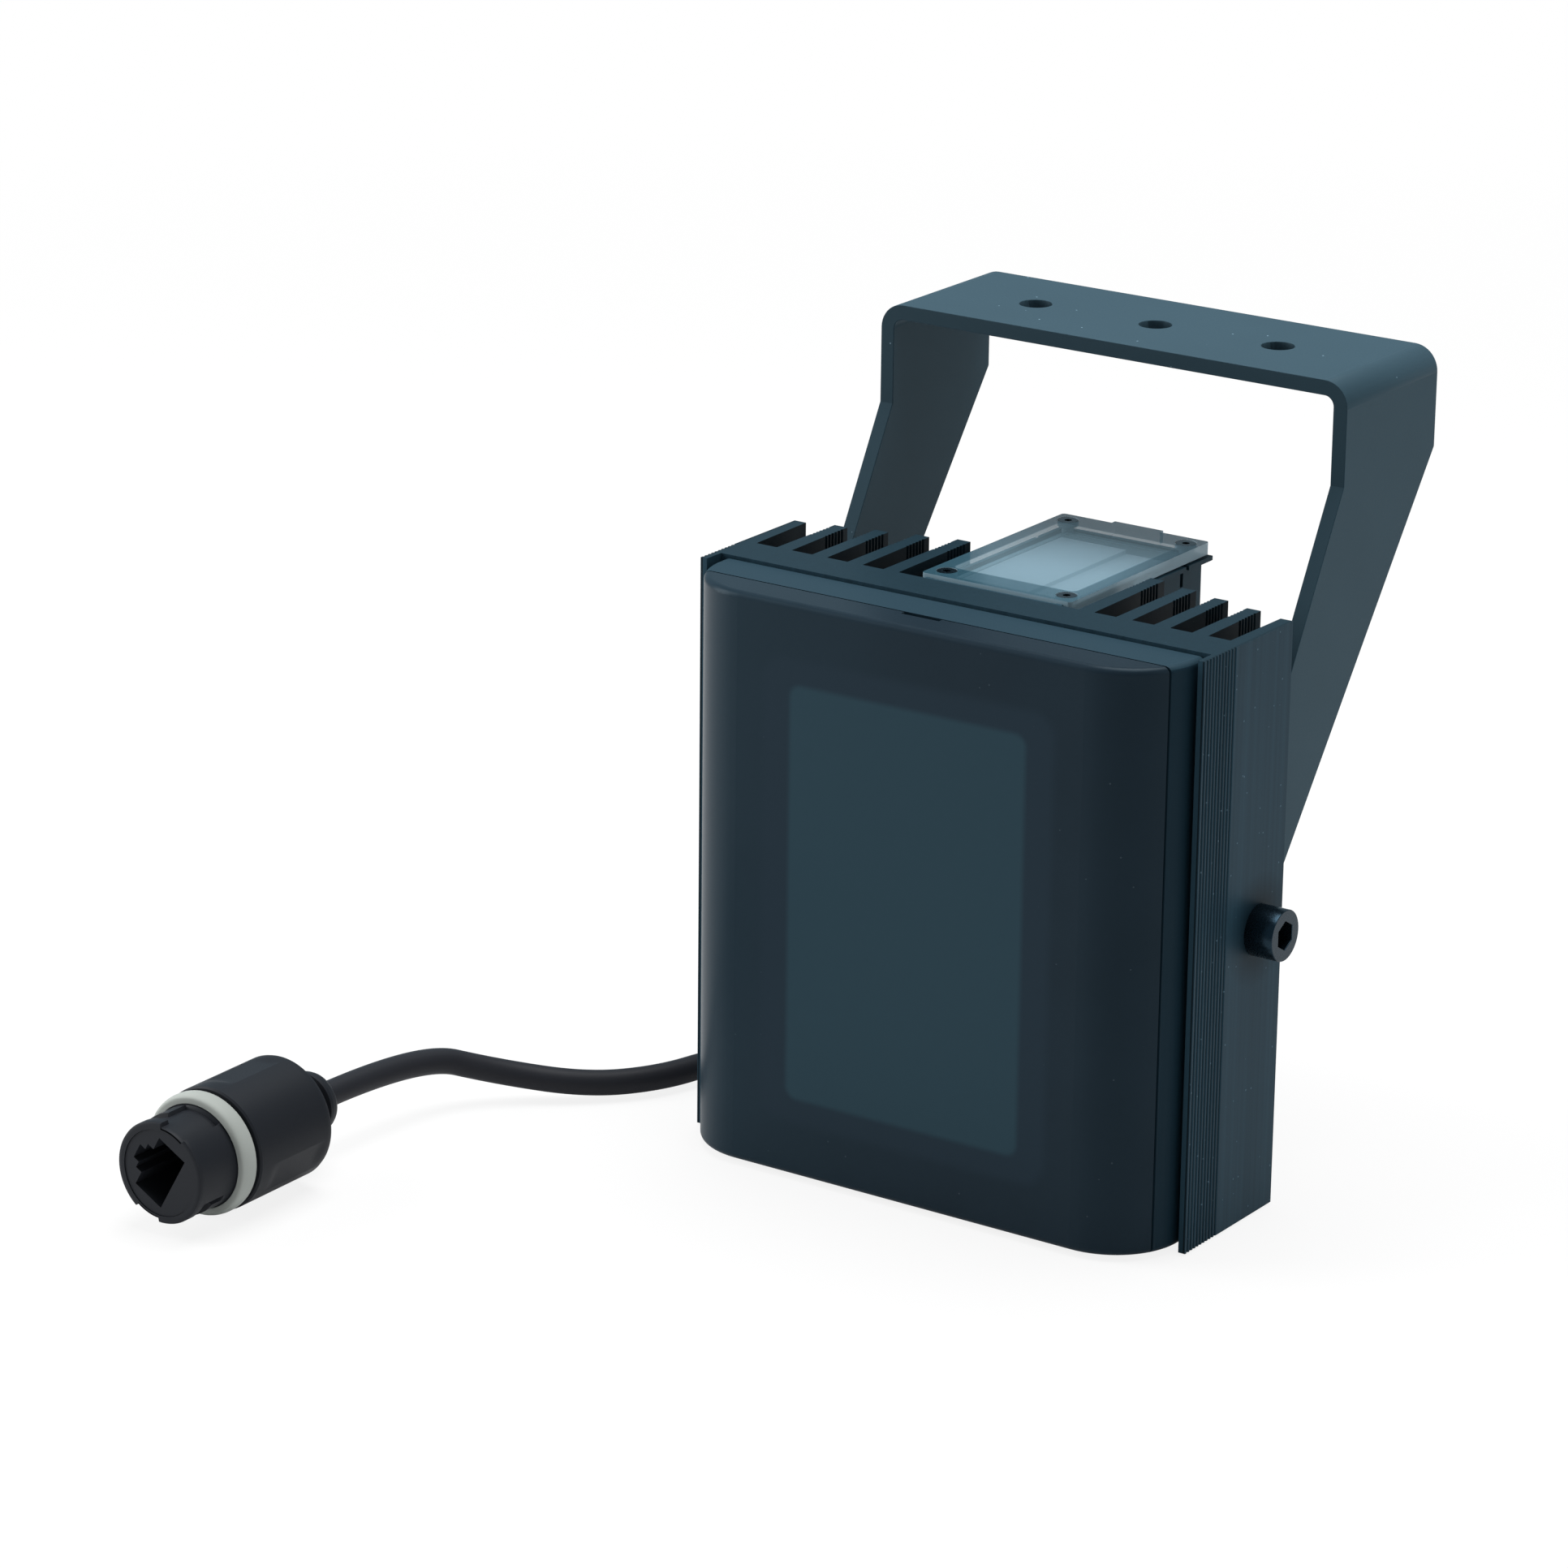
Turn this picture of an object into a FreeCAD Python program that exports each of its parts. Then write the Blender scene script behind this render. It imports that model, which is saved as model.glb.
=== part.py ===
"""Infrared illuminator: a finned heatsink with an LED window in front, a driver box with a clear
lid in the channel between its fins, a folded U bracket that pivots on two screws, and a short
network lead that ends in a waterproof socket.

Frame: millimetres, +X to the right, +Y to the back, +Z up. The unit stands on the flat end of its
heatsink, and the origin is under the middle of the unit. Depths in the sheet are measured from the
heatsink's front edges, and every sub-part is moved back by front_edge to the frame's own origin.
"""
import FreeCAD, Part
import math
import os
import re
from types import SimpleNamespace

from FreeCAD import Placement, Rotation, Vector

# Driving sizes
SIZES = [
    ("sink_width", 112.0, "heatsink, outside of one side wall to the other"),
    ("sink_height", 116.0, "heatsink, length of the extrusion"),
    ("base_front", 4.7, "depth of the base plate's front face"),
    ("base_rear", 14.2, "depth of the base plate's rear face"),
    ("lip_thick", 1.5, "side lips beside the cover"),
    ("wall_root", 3.1, "side wall at the base plate"),
    ("wall_tip", 2.7, "side wall at its rear edge"),
    ("wall_rear", 31.6, "depth of the side walls' rear edges"),
    ("fin_pitch", 8.2, "from one fin to the next"),
    ("fin_gap", 4.75, "gap between fins at their roots"),
    ("fin_tip", 3.0, "fin at its tip"),
    ("fin_step", 2.0, "how much further each fin reaches than the one outside it"),
    ("rib_pitch", 1.1, "fine grooves on walls and fins"),
    ("rib_depth", 0.3, "depth of a fine groove"),
    ("cover_gap", 1.1, "gap between the cover and the side lips"),
    ("cover_inset", 0.6, "cover's ends stand back from the heatsink's ends"),
    ("cover_corner", 15.0, "upright corners of the cover, in plan"),
    ("cover_edge", 1.3, "rounding of the cover's end edges"),
    ("window_front", -12.8, "depth of the window's front face"),
    ("seam_depth", -4.8, "depth of the seam between frame and window"),
    ("seam_gap", 0.4, "thickness of the seal in the seam"),
    ("window_wall", 2.6, "window's front and skirt"),
    ("frame_wall", 2.4, "frame's walls above and below the opening"),
    ("frame_side", 4.4, "frame's walls at the sides"),
    ("gasket_thick", 0.5, "flat gasket and thermal pad"),
    ("notch_width", 8.4, "prying notch on the seam"),
    ("notch_place", -1.8, "prying notch, from the middle"),
    ("boss_place", 25.9, "cover screws, sideways from the middle"),
    ("boss_inset", 5.8, "cover screws, from the heatsink's ends"),
    ("board_half", 42.0, "LED board, half width"),
    ("board_inset", 12.0, "LED board, from the heatsink's ends"),
    ("board_thick", 1.6, "circuit boards"),
    ("board_hole", 38.5, "board screws, sideways from the middle"),
    ("board_hole_inset", 16.0, "outer board screws, from the heatsink's ends"),
    ("led_pitch", 17.0, "from one column of LEDs to the next"),
    ("led_size", 3.5, "side of an LED's base"),
    ("lens_radius", 7.6, "lens at the front of the plate"),
    ("lens_half", 26.2, "lens plate, half width"),
    ("lens_inset", 16.5, "lens plate, from the heatsink's ends"),
    ("lens_margin", 0.6, "lens plate beyond its end lenses"),
    ("lens_front", -8.6, "depth of the lens plate's front face"),
    ("lens_thick", 1.6, "lens plate between its lenses"),
    ("holder_half", 32.3, "lens holder, half width"),
    ("holder_inset", 11.5, "lens holder, from the heatsink's ends"),
    ("lead_place", -8.5, "LED leads, sideways from the middle"),
    ("lead_rise", 15.5, "LED leads, above the driver box's underside"),
    ("lead_hole", 4.1, "radius of the leads' hole in the base plate"),
    ("box_half", 15.9, "driver box, half width"),
    ("box_rear", 65.8, "depth of the driver box's rear face"),
    ("box_height", 65.0, "driver box's underside, below the heatsink's upper end"),
    ("box_wall", 2.1, "driver box's walls"),
    ("box_floor", 2.4, "driver box's floor"),
    ("lid_overhang", 0.8, "lid beyond the driver box's sides"),
    ("lid_front", 16.9, "depth of the lid's front edge"),
    ("lid_rear_overhang", 1.5, "lid beyond the driver box's rear face"),
    ("lid_thick", 2.4, "lid"),
    ("lid_corner", 0.8, "lid's upright corners"),
    ("lid_screw_inset", 2.5, "lid screws, in from the driver box's sides"),
    ("lid_screw_front_inset", 3.8, "front lid screws, behind the lid's front edge"),
    ("lid_screw_rear_inset", 3.4, "rear lid screws, before the lid's rear edge"),
    ("card_inset", 3.5, "insulating card, in from the driver box's sides"),
    ("tab_half", 5.5, "lid's tabs, half width"),
    ("tab_reach", 1.2, "lid's rear tab beyond its edge"),
    ("box_screw_place", 9.5, "box screws, sideways from the middle"),
    ("box_screw_rise", 6.0, "lower box screws, above the driver box's underside"),
    ("box_screw_drop", 10.0, "upper box screws, below the heatsink's upper end"),
    ("gland_depth", 50.0, "depth of the cable gland's axis"),
    ("gland_thread", 6.0, "gland's thread, radius"),
    ("gland_flats", 15.0, "gland's hexagon, across flats"),
    ("gland_drop", 17.2, "gland's lower end, below the driver box"),
    ("cable_thick", 5.2, "lead's diameter"),
    ("washer_thick", 0.5, "washers between the arms and the heatsink's walls"),
    ("washer_play", 0.1, "play beside a washer"),
    ("plate_front", 55.4, "depth of the bracket plate's front edge"),
    ("plate_rear", 90.2, "depth of the bracket plate's rear edge"),
    ("plate_rise", 39.6, "bracket plate's top face, above the heatsink's upper end"),
    ("knee_drop", 20.1, "where the arms' edges start to slant, below the plate's top face"),
    ("sheet_thick", 3.0, "bracket's sheet"),
    ("bend_inside", 2.0, "bracket's inner bend radius"),
    ("arm_end", 7.9, "rounded ends of the arms"),
    ("hole_spacing", 27.35, "from one fixing hole to the next"),
    ("hole_radius", 3.25, "fixing holes, radius"),
    ("hole_depth", 72.3, "depth of the row of fixing holes"),
    ("pivot_depth", 22.6, "depth of the pivots' axis"),
    ("pivot_radius", 3.0, "pivot screws, radius"),
    ("nut_radius", 4.2, "pressed-in nuts, radius in the arm"),
    ("nut_flange", 0.8, "pressed-in nuts, flange thickness"),
    ("running_gap", 0.05, "radial clearance of screws and pivots"),
    ("shell_radius", 12.25, "connector's body, radius"),
    ("ring_length", 4.6, "connector's pale ring, length"),
    ("collar_radius", 10.1, "connector's front collar, radius"),
    ("collar_length", 10.5, "connector's front collar, length"),
    ("collar_wall", 1.5, "connector's front collar, wall"),
    ("body_length", 21.5, "connector's body behind the ring, length"),
    ("boot_length", 10.5, "strain relief behind the connector, length"),
    ("boot_radius", 6.3, "strain relief, radius"),
    ("boot_grip", 6.5, "lead's end inside the strain relief"),
    ("way_depth", 0.8, "bayonet ways in the collar, depth"),
    ("flute_depth", 0.55, "flats along the connector's body, depth"),
    ("insert_seat", 6.0, "socket insert, from the back end of the connector's shell"),
    ("jack_width", 12.2, "opening of the socket, width"),
    ("jack_height", 7.0, "opening of the socket, height"),
    ("jack_depth", 16.0, "opening of the socket, depth"),
]
FIN_COUNT = 4          # fins on each side of the channel
GROOVE_COUNT = 10      # fine grooves on the outside of a side wall
SERRATION_COUNT = 6    # fine grooves on each face of a fin
LED_COLUMNS = 3
LED_ROWS = 5
CONTACT_COUNT = 8

# The lead's route over the surface, in the part's own frame, as far as its connector's boot
LEAD_BENDS = [
    (-40.0, 6.5, 2.8), (-58.1, -2.0, 2.8), (-68.0, -14.6, 2.8), (-71.6, -29.3, 2.8),
    (-81.0, -41.2, 2.9), (-95.5, -51.5, 5.6), (-104.5, -66.8, 12.3), (-104.5, -103.3, 12.3),
]
CONNECTOR_ROLL = 240.0  # degrees about the connector's own axis

# Document and sheet
doc = FreeCAD.newDocument("infrared_illuminator")
sheet = doc.addObject("Spreadsheet::Sheet", "Sizes")


def add_size(row, alias, value, note):
    """Writes one size into the sheet: its name, its value under an alias, and what it measures."""
    sheet.set(f"A{row}", alias)
    sheet.set(f"B{row}", str(value))
    sheet.setAlias(f"B{row}", alias)
    sheet.set(f"C{row}", note)


given = SimpleNamespace(**{alias: value for alias, value, note in SIZES})
middle_height = given.sink_height / 2
plate_top = given.sink_height + given.plate_rise
lid_rear = given.box_rear + given.lid_rear_overhang
# Sizes worked out from the driving ones
WORKED_OUT = [
    ("cover_half", given.sink_width / 2 - given.lip_thick - given.cover_gap,
     "half width of the cover"),
    ("lens_height", given.sink_height - 2 * given.lens_inset, "lens plate, height"),
    ("holder_height", given.sink_height - 2 * given.holder_inset, "lens holder, height"),
    ("led_row_pitch", (given.sink_height - 2 * given.lens_inset - 2 * given.lens_radius
                       - 2 * given.lens_margin) / (LED_ROWS - 1), "from one row of LEDs to the next"),
    ("box_bottom", given.sink_height - given.box_height, "height of the driver box's underside"),
    ("lead_height", given.sink_height - given.box_height + given.lead_rise, "LED leads, height"),
    ("lid_half", given.box_half + given.lid_overhang, "lid, half width"),
    ("lid_rear", lid_rear, "depth of the lid's rear edge"),
    ("lid_screw_place", given.box_half - given.lid_screw_inset,
     "lid screws, sideways from the middle"),
    ("lid_screw_front", given.lid_front + given.lid_screw_front_inset,
     "depth of the front lid screws"),
    ("lid_screw_rear", lid_rear - given.lid_screw_rear_inset, "depth of the rear lid screws"),
    ("pivot_height", middle_height, "height of the pivots' axis"),
    ("plate_half", given.sink_width / 2 - given.wall_root - given.washer_thick
     - given.washer_play, "bracket, half width over its arms"),
    ("plate_top", plate_top, "height of the bracket plate's top face"),
    ("knee_height", plate_top - given.knee_drop, "height where the arms' edges start to slant"),
    # The origin lies under the middle of the box from the window's face to the bracket's rear edge
    ("front_edge", -(given.plate_rear + given.window_front) / 2,
     "heatsink's front edges in the frame"),
]
for number, (alias, value, note) in enumerate(SIZES + WORKED_OUT, start=1):
    add_size(number, alias, value, note)
values = {alias: value for alias, value, note in SIZES + WORKED_OUT}
doc.recompute()
s = SimpleNamespace(**values)
gland_place = s.gland_depth + s.front_edge
ROUTE = [(0.0, gland_place, s.box_bottom - s.gland_drop + 10.2),
         (0.0, gland_place, LEAD_BENDS[0][2])] + LEAD_BENDS
sub_parts = []


def ex(text):
    """An expression in which each plain size name points at its cell in the sheet."""
    return re.sub(r"[a-z_]+", lambda found: "Sizes." + found.group(0)
                  if found.group(0) in values else found.group(0), str(text))


def bind(obj, prop, text):
    obj.setExpression(prop, ex(text))
    return obj


TURNS = {
    "+Z": Rotation(), "-Z": Rotation(Vector(1, 0, 0), 180),
    "+X": Rotation(Vector(0, 1, 0), 90), "-X": Rotation(Vector(0, 1, 0), -90),
    "+Y": Rotation(Vector(1, 0, 0), -90), "-Y": Rotation(Vector(1, 0, 0), 90),
}


def put(obj, x, y, z, towards="+Z"):
    """Places an object by expressions; y is a depth from the heatsink's front edges."""
    obj.Placement = Placement(Vector(), TURNS[towards])
    bind(obj, "Placement.Base.x", x)
    bind(obj, "Placement.Base.y", f"front_edge + ({y})")
    bind(obj, "Placement.Base.z", z)
    return obj


def cylinder(name, radius, length, x, y, z, towards="+Z"):
    obj = doc.addObject("Part::Cylinder", name)
    bind(obj, "Radius", radius)
    bind(obj, "Height", length)
    return put(obj, x, y, z, towards)


def cone(name, low_radius, high_radius, length, x, y, z, towards="+Z"):
    obj = doc.addObject("Part::Cone", name)
    bind(obj, "Radius1", low_radius)
    bind(obj, "Radius2", high_radius)
    bind(obj, "Height", length)
    return put(obj, x, y, z, towards)


def block(name, wide, deep, high, x, y, z):
    """A box whose lowest corner is at x, y, z."""
    obj = doc.addObject("Part::Box", name)
    bind(obj, "Length", wide)
    bind(obj, "Width", deep)
    bind(obj, "Height", high)
    return put(obj, x, y, z)


def hexagon(name, across_flats, length, x, y, z, towards="+Z"):
    obj = doc.addObject("Part::Prism", name)
    obj.Polygon = 6
    bind(obj, "Circumradius", f"({across_flats}) / sqrt(3)")
    bind(obj, "Height", length)
    return put(obj, x, y, z, towards)


def fuse(name, pieces):
    obj = doc.addObject("Part::MultiFuse", name)
    obj.Shapes = pieces
    obj.Refine = True
    return obj


def cut(name, base, tools):
    """Takes the tools away from the base, in one step."""
    obj = doc.addObject("Part::Cut", name)
    obj.Base = base
    obj.Tool = tools[0] if len(tools) == 1 else fuse(name + "_tools", tools)
    obj.Refine = True
    return obj


def group(name, pieces):
    """Identical pieces kept together as separate solids."""
    obj = doc.addObject("Part::Compound", name)
    obj.Links = pieces
    return obj


def sub_part(node, obj):
    obj.Label = node
    sub_parts.append((node, obj))
    return obj


# Bodies made from sketches
def new_body(name):
    return put(doc.addObject("PartDesign::Body", name), 0, 0, 0)


def sketch(body, name, role, edges, height="0"):
    """A sketch on one of the body's origin planes, at a height above it, holding these edges."""
    plane = [item for item in body.Origin.OriginFeatures if item.Role == role][0]
    obj = body.newObject("Sketcher::SketchObject", name)
    obj.AttachmentSupport = (plane, "")
    obj.MapMode = "FlatFace"
    bind(obj, "AttachmentOffset.Base.z", height)
    obj.addGeometry(edges, False)
    return obj


def lines(points):
    """Straight edges through the points and back to the first."""
    corners = [Vector(x, y, 0) for x, y in points]
    return [Part.LineSegment(a, b) for a, b in zip(corners, corners[1:] + corners[:1])]


def pad(body, name, profile, length, reverse=False, midplane=False):
    obj = body.newObject("PartDesign::Pad", name)
    obj.Profile = profile
    obj.Reversed = reverse
    obj.Midplane = midplane
    bind(obj, "Length", length)
    doc.recompute()
    return obj


def pocket(body, name, profile, length, reverse=False, midplane=False):
    """A pocket that has to take material away, or the model stops here."""
    before = body.Tip.Shape.Volume
    obj = body.newObject("PartDesign::Pocket", name)
    obj.Profile = profile
    obj.Reversed = reverse
    obj.Midplane = midplane
    bind(obj, "Length", length)
    doc.recompute()
    if not obj.Shape.Volume < before:
        raise RuntimeError(name + " cuts nothing")
    return obj


def round_edges(body, name, radius, chosen):
    """Rounds the edges of the body's last feature whose middle point passes the test."""
    base = body.Tip
    names = [f"Edge{number}" for number, edge in enumerate(base.Shape.Edges, start=1)
             if chosen(edge.CenterOfMass)]
    obj = body.newObject("PartDesign::Fillet", name)
    obj.Base = (base, names)
    bind(obj, "Radius", radius)
    doc.recompute()
    return obj


def turned(name, profile):
    """A body of revolution about its own Z axis; the profile's points are radius and height."""
    body = doc.addObject("PartDesign::Body", name)
    half = sketch(body, name + "_profile", "XZ_Plane", lines(profile))
    spin = body.newObject("PartDesign::Revolution", name + "_turn")
    spin.Profile = half
    spin.ReferenceAxis = (half, ["V_Axis"])
    spin.Angle = 360
    doc.recompute()
    return body


# Heatsink extrusion
def grooved(start, end, first, count, side):
    """Points along a straight face with V grooves, the first at a distance from its start."""
    along = (end - start).normalize()
    inward = Vector(-along.y, along.x, 0) * side * s.rib_depth
    points = [start]
    for number in range(count):
        mouth = start + along * (first + number * s.rib_pitch)
        points += [mouth, mouth + along * (s.rib_pitch / 3) + inward,
                   mouth + along * (s.rib_pitch * 2 / 3)]
    return points + [end]


def heatsink_side():
    """Half of the extrusion's outline, from the lip beside the cover round to the channel."""
    outside = s.sink_width / 2
    lip = outside - s.lip_thick
    points = [Vector(lip, s.base_front, 0), Vector(lip, 0, 0)]
    points += grooved(Vector(outside, 0, 0), Vector(outside, s.wall_rear, 0),
                      s.rib_pitch / 2, GROOVE_COUNT, 1)
    points += [Vector(outside - s.wall_tip, s.wall_rear, 0),
               Vector(outside - s.wall_root, s.base_rear, 0)]
    for number in range(FIN_COUNT):
        root = outside - s.wall_root - s.fin_gap - number * s.fin_pitch
        middle = root - (s.fin_pitch - s.fin_gap) / 2
        reach = s.wall_rear + s.fin_step * (number + 1)
        tip = s.fin_tip / 2
        length = reach - s.base_rear
        first = length * 0.92 - SERRATION_COUNT * s.rib_pitch
        points += grooved(Vector(root, s.base_rear, 0), Vector(middle + tip, reach, 0),
                          first, SERRATION_COUNT, 1)
        points += grooved(Vector(middle - tip, reach, 0),
                          Vector(root - s.fin_pitch + s.fin_gap, s.base_rear, 0),
                          length * 0.08, SERRATION_COUNT, 1)
    return points


def heatsink():
    side = heatsink_side()
    other = [Vector(-point.x, point.y, 0) for point in reversed(side)]
    outline = doc.addObject("Part::Polygon", "sink_outline")
    outline.Nodes = side + other
    outline.Close = True
    put(outline, 0, 0, 0)
    bar = doc.addObject("Part::Extrusion", "sink_bar")
    bar.Base = outline
    bar.DirMode = "Custom"
    bar.Dir = Vector(0, 0, 1)
    bar.Solid = True
    bind(bar, "LengthFwd", "sink_height")
    holes = [cylinder("pivot_hole", "pivot_radius + running_gap", "sink_width + 2",
                      "-sink_width / 2 - 1", "pivot_depth", "pivot_height", "+X")]
    fins = [block("pivot_path", "sink_width - 2 * wall_root - 2 * fin_gap", "wall_rear", "12",
                  "-sink_width / 2 + wall_root + fin_gap", "pivot_depth - wall_rear / 2",
                  "pivot_height - 6")]
    drilled = cut("pivot_drill", holes[0], fins)
    tools = [drilled, cylinder("lead_bore", "lead_hole", "base_rear - base_front + 2",
                               "lead_place", "base_front - 1", "lead_height", "+Y")]
    for name, x, z in cover_screw_places():
        tools.append(cylinder("sink_hole_" + name, "1.25 + running_gap * 2",
                              "base_rear - base_front + 2", x, "base_front - 1", z, "+Y"))
    for name, x, z in board_screw_places():
        tools.append(cylinder("sink_tap_" + name, "1.5 + running_gap", "6.5",
                              x, "base_front - 1", z, "+Y"))
    for name, x, z in box_screw_places():
        tools.append(cylinder("sink_clear_" + name, "1.5 + running_gap * 2",
                              "base_rear - base_front + 2", x, "base_front - 1", z, "+Y"))
        tools.append(cone("sink_sink_" + name, "2.9", "1.5 + running_gap", "1.4",
                          x, "base_front", z, "+Y"))
    sub_part("heatsink", cut("heatsink_drilled", bar, tools))


def cover_screw_places():
    """Name, sideways place and height of each cover screw."""
    for side, sign in (("left", "-"), ("right", "")):
        yield side + "_low", sign + "boss_place", "boss_inset"
        yield side + "_high", sign + "boss_place", "sink_height - boss_inset"


def board_screw_places():
    for side, sign in (("left", "-"), ("right", "")):
        yield side + "_low", sign + "board_hole", "board_hole_inset"
        yield side + "_middle", sign + "board_hole", "pivot_height"
        yield side + "_high", sign + "board_hole", "sink_height - board_hole_inset"


def box_screw_places():
    for side, sign in (("left", "-"), ("right", "")):
        yield side + "_low", sign + "box_screw_place", "box_bottom + box_screw_rise"
        yield side + "_high", sign + "box_screw_place", "sink_height - box_screw_drop"


# Fasteners
def screw(name, radius, length, head_radius, head_length, socket, x, y, z, towards):
    """A screw whose head sits on its seat at x, y, z and whose shank runs towards the work."""
    back = {"+Z": "-Z", "-Z": "+Z", "+X": "-X", "-X": "+X", "+Y": "-Y", "-Y": "+Y"}[towards]
    head = cylinder(name + "_head", head_radius, head_length, x, y, z, back)
    shank = cylinder(name + "_shank", radius, length, x, y, z, towards)
    depth = f"({head_length}) * 0.6"
    step = {"X": x, "Y": y, "Z": z}
    axis = back[1]
    step[axis] = f"({step[axis]}) {back[0]} (({head_length}) * 0.4)"
    drive = hexagon(name + "_drive", socket, f"{depth} + 1", step["X"], step["Y"], step["Z"], back)
    return cut(name, fuse(name + "_blank", [head, shank]), [drive])


def countersunk(name, radius, length, head_radius, head_length, x, y, z, towards):
    """A flat-headed screw whose head is flush at x, y, z."""
    head = cone(name + "_head", head_radius, radius, head_length, x, y, z, towards)
    shank = cylinder(name + "_shank", radius, length, x, y, z, towards)
    return fuse(name, [head, shank])


# Cover: frame, seal and window
def plan(half, front, rear, corner):
    """Plan of the cover: flat front, two round corners, straight sides back to the rear."""
    middle = front + corner
    low = corner * (1 - math.sqrt(0.5))
    point = [Vector(-half, rear, 0), Vector(-half, middle, 0), Vector(-half + low, front + low, 0),
             Vector(-half + corner, front, 0), Vector(half - corner, front, 0),
             Vector(half - low, front + low, 0), Vector(half, middle, 0), Vector(half, rear, 0)]
    return [Part.LineSegment(point[0], point[1]), Part.Arc(point[1], point[2], point[3]),
            Part.LineSegment(point[3], point[4]), Part.Arc(point[4], point[5], point[6]),
            Part.LineSegment(point[6], point[7]), Part.LineSegment(point[7], point[0])]


def cover_blank(body):
    """The whole outer form of the cover, before it is divided at the seam."""
    frame_rear = s.base_front - s.gasket_thick
    outline = plan(s.cover_half, s.window_front, frame_rear, s.cover_corner)
    profile = sketch(body, body.Name + "_plan", "XY_Plane", outline, "cover_inset")
    pad(body, body.Name + "_blank", profile, "sink_height - 2 * cover_inset")
    ends = (s.cover_inset, s.sink_height - s.cover_inset)
    rear = frame_rear + s.front_edge

    def end_edge(point):
        flat = min(abs(point.z - end) for end in ends) < 1e-3
        return flat and abs(point.y - frame_rear) > 1e-3 and abs(point.y - rear) > 1e-3

    round_edges(body, body.Name + "_edges", "cover_edge", end_edge)


def slab(body, name, front, rear, margin=1.0):
    """A sketch of a band across the cover between two depths, to cut one part off."""
    reach = s.cover_half + margin
    return sketch(body, name, "XY_Plane",
                  lines([(-reach, front), (reach, front), (reach, rear), (-reach, rear)]))


def cover_frame():
    body = new_body("frame_body")
    cover_blank(body)
    pocket(body, "frame_front_cut", slab(body, "frame_front", s.window_front - 1, s.seam_depth
                                         + s.seam_gap / 2), "sink_height", reverse=True)
    side = s.cover_half - s.frame_side
    low = s.cover_inset + s.frame_wall
    high = s.sink_height - low
    opening = sketch(body, "frame_opening", "XZ_Plane",
                     lines([(-side, low), (side, low), (side, high), (-side, high)]),
                     "-base_front - 1")
    pocket(body, "frame_opening_cut", opening, "base_front - seam_depth + 3", reverse=True)
    round_edges(body, "frame_opening_corners", "frame_wall",
                lambda point: abs(abs(point.x) - side) < 0.01
                and min(abs(point.z - low), abs(point.z - high)) < 0.01)
    bosses = [cylinder("boss_" + name, "boss_inset - cover_inset - 2", "base_front - gasket_thick + 3.4",
                       x, "-3.4", z, "+Y") for name, x, z in cover_screw_places()]
    pilots = [cylinder("pilot_" + name, "1.25 + running_gap", "base_front + 2",
                       x, "-2", z, "+Y") for name, x, z in cover_screw_places()]
    sub_part("cover_frame", cut("frame_piloted", fuse("frame_bossed", [body] + bosses), pilots))


def front_window():
    outer = new_body("window_body")
    cover_blank(outer)
    pocket(outer, "window_rear_cut", slab(outer, "window_rear", s.seam_depth - s.seam_gap / 2,
                                          s.base_front + 1), "sink_height", reverse=True)
    inner = new_body("window_hollow")
    inside = plan(s.cover_half - s.window_wall, s.window_front + s.window_wall, s.base_front,
                  s.cover_corner - s.window_wall)
    pad(inner, "window_hollow_pad", sketch(inner, "window_hollow_plan", "XY_Plane", inside,
                                           "cover_inset + window_wall"),
        "sink_height - 2 * cover_inset - 2 * window_wall")
    notch = block("seam_notch", "notch_width", "1.1", "1.5", "notch_place - notch_width / 2",
                  "seam_depth - seam_gap / 2 - 1.1", "sink_height - cover_inset - 0.9")
    sub_part("front_window", cut("window_hollowed", outer, [inner, notch]))


def flat_ring(name, outer_half, outer_low, inner_half, inner_low, depth, thick):
    """A flat upright ring, the same distance from both ends of the heatsink."""
    outer = block(name + "_outer", f"2 * ({outer_half})", thick,
                  f"sink_height - 2 * ({outer_low})", f"-({outer_half})", depth, outer_low)
    inner = block(name + "_inner", f"2 * ({inner_half})", f"({thick}) + 2",
                  f"sink_height - 2 * ({inner_low})", f"-({inner_half})", f"({depth}) - 1",
                  inner_low)
    return cut(name + "_ring", outer, [inner])


def cover_seals():
    sub_part("cover_gasket", cut(
        "gasket_holed",
        flat_ring("gasket", "cover_half - 1", "cover_inset + 0.8", "cover_half - frame_side + 0.6",
                  "cover_inset + frame_wall + 6.4", "base_front - gasket_thick", "gasket_thick"),
        [cylinder("gasket_hole_" + name, "1.6", "4", x, "base_front - 2", z, "+Y")
         for name, x, z in cover_screw_places()]))
    sub_part("window_seal", flat_ring(
        "seal", "cover_half - 2.5", "cover_inset + 0.8", "cover_half - 4", "cover_inset + 2.2",
        "seam_depth - seam_gap / 2", "seam_gap"))


def cover_screws():
    sub_part("cover_screws", group("cover_screw_set", [
        screw("cover_screw_" + name, "1.25", "base_rear + 1.4", "2.15", "2.4", "1.9",
              x, "base_rear", z, "-Y") for name, x, z in cover_screw_places()]))


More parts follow.
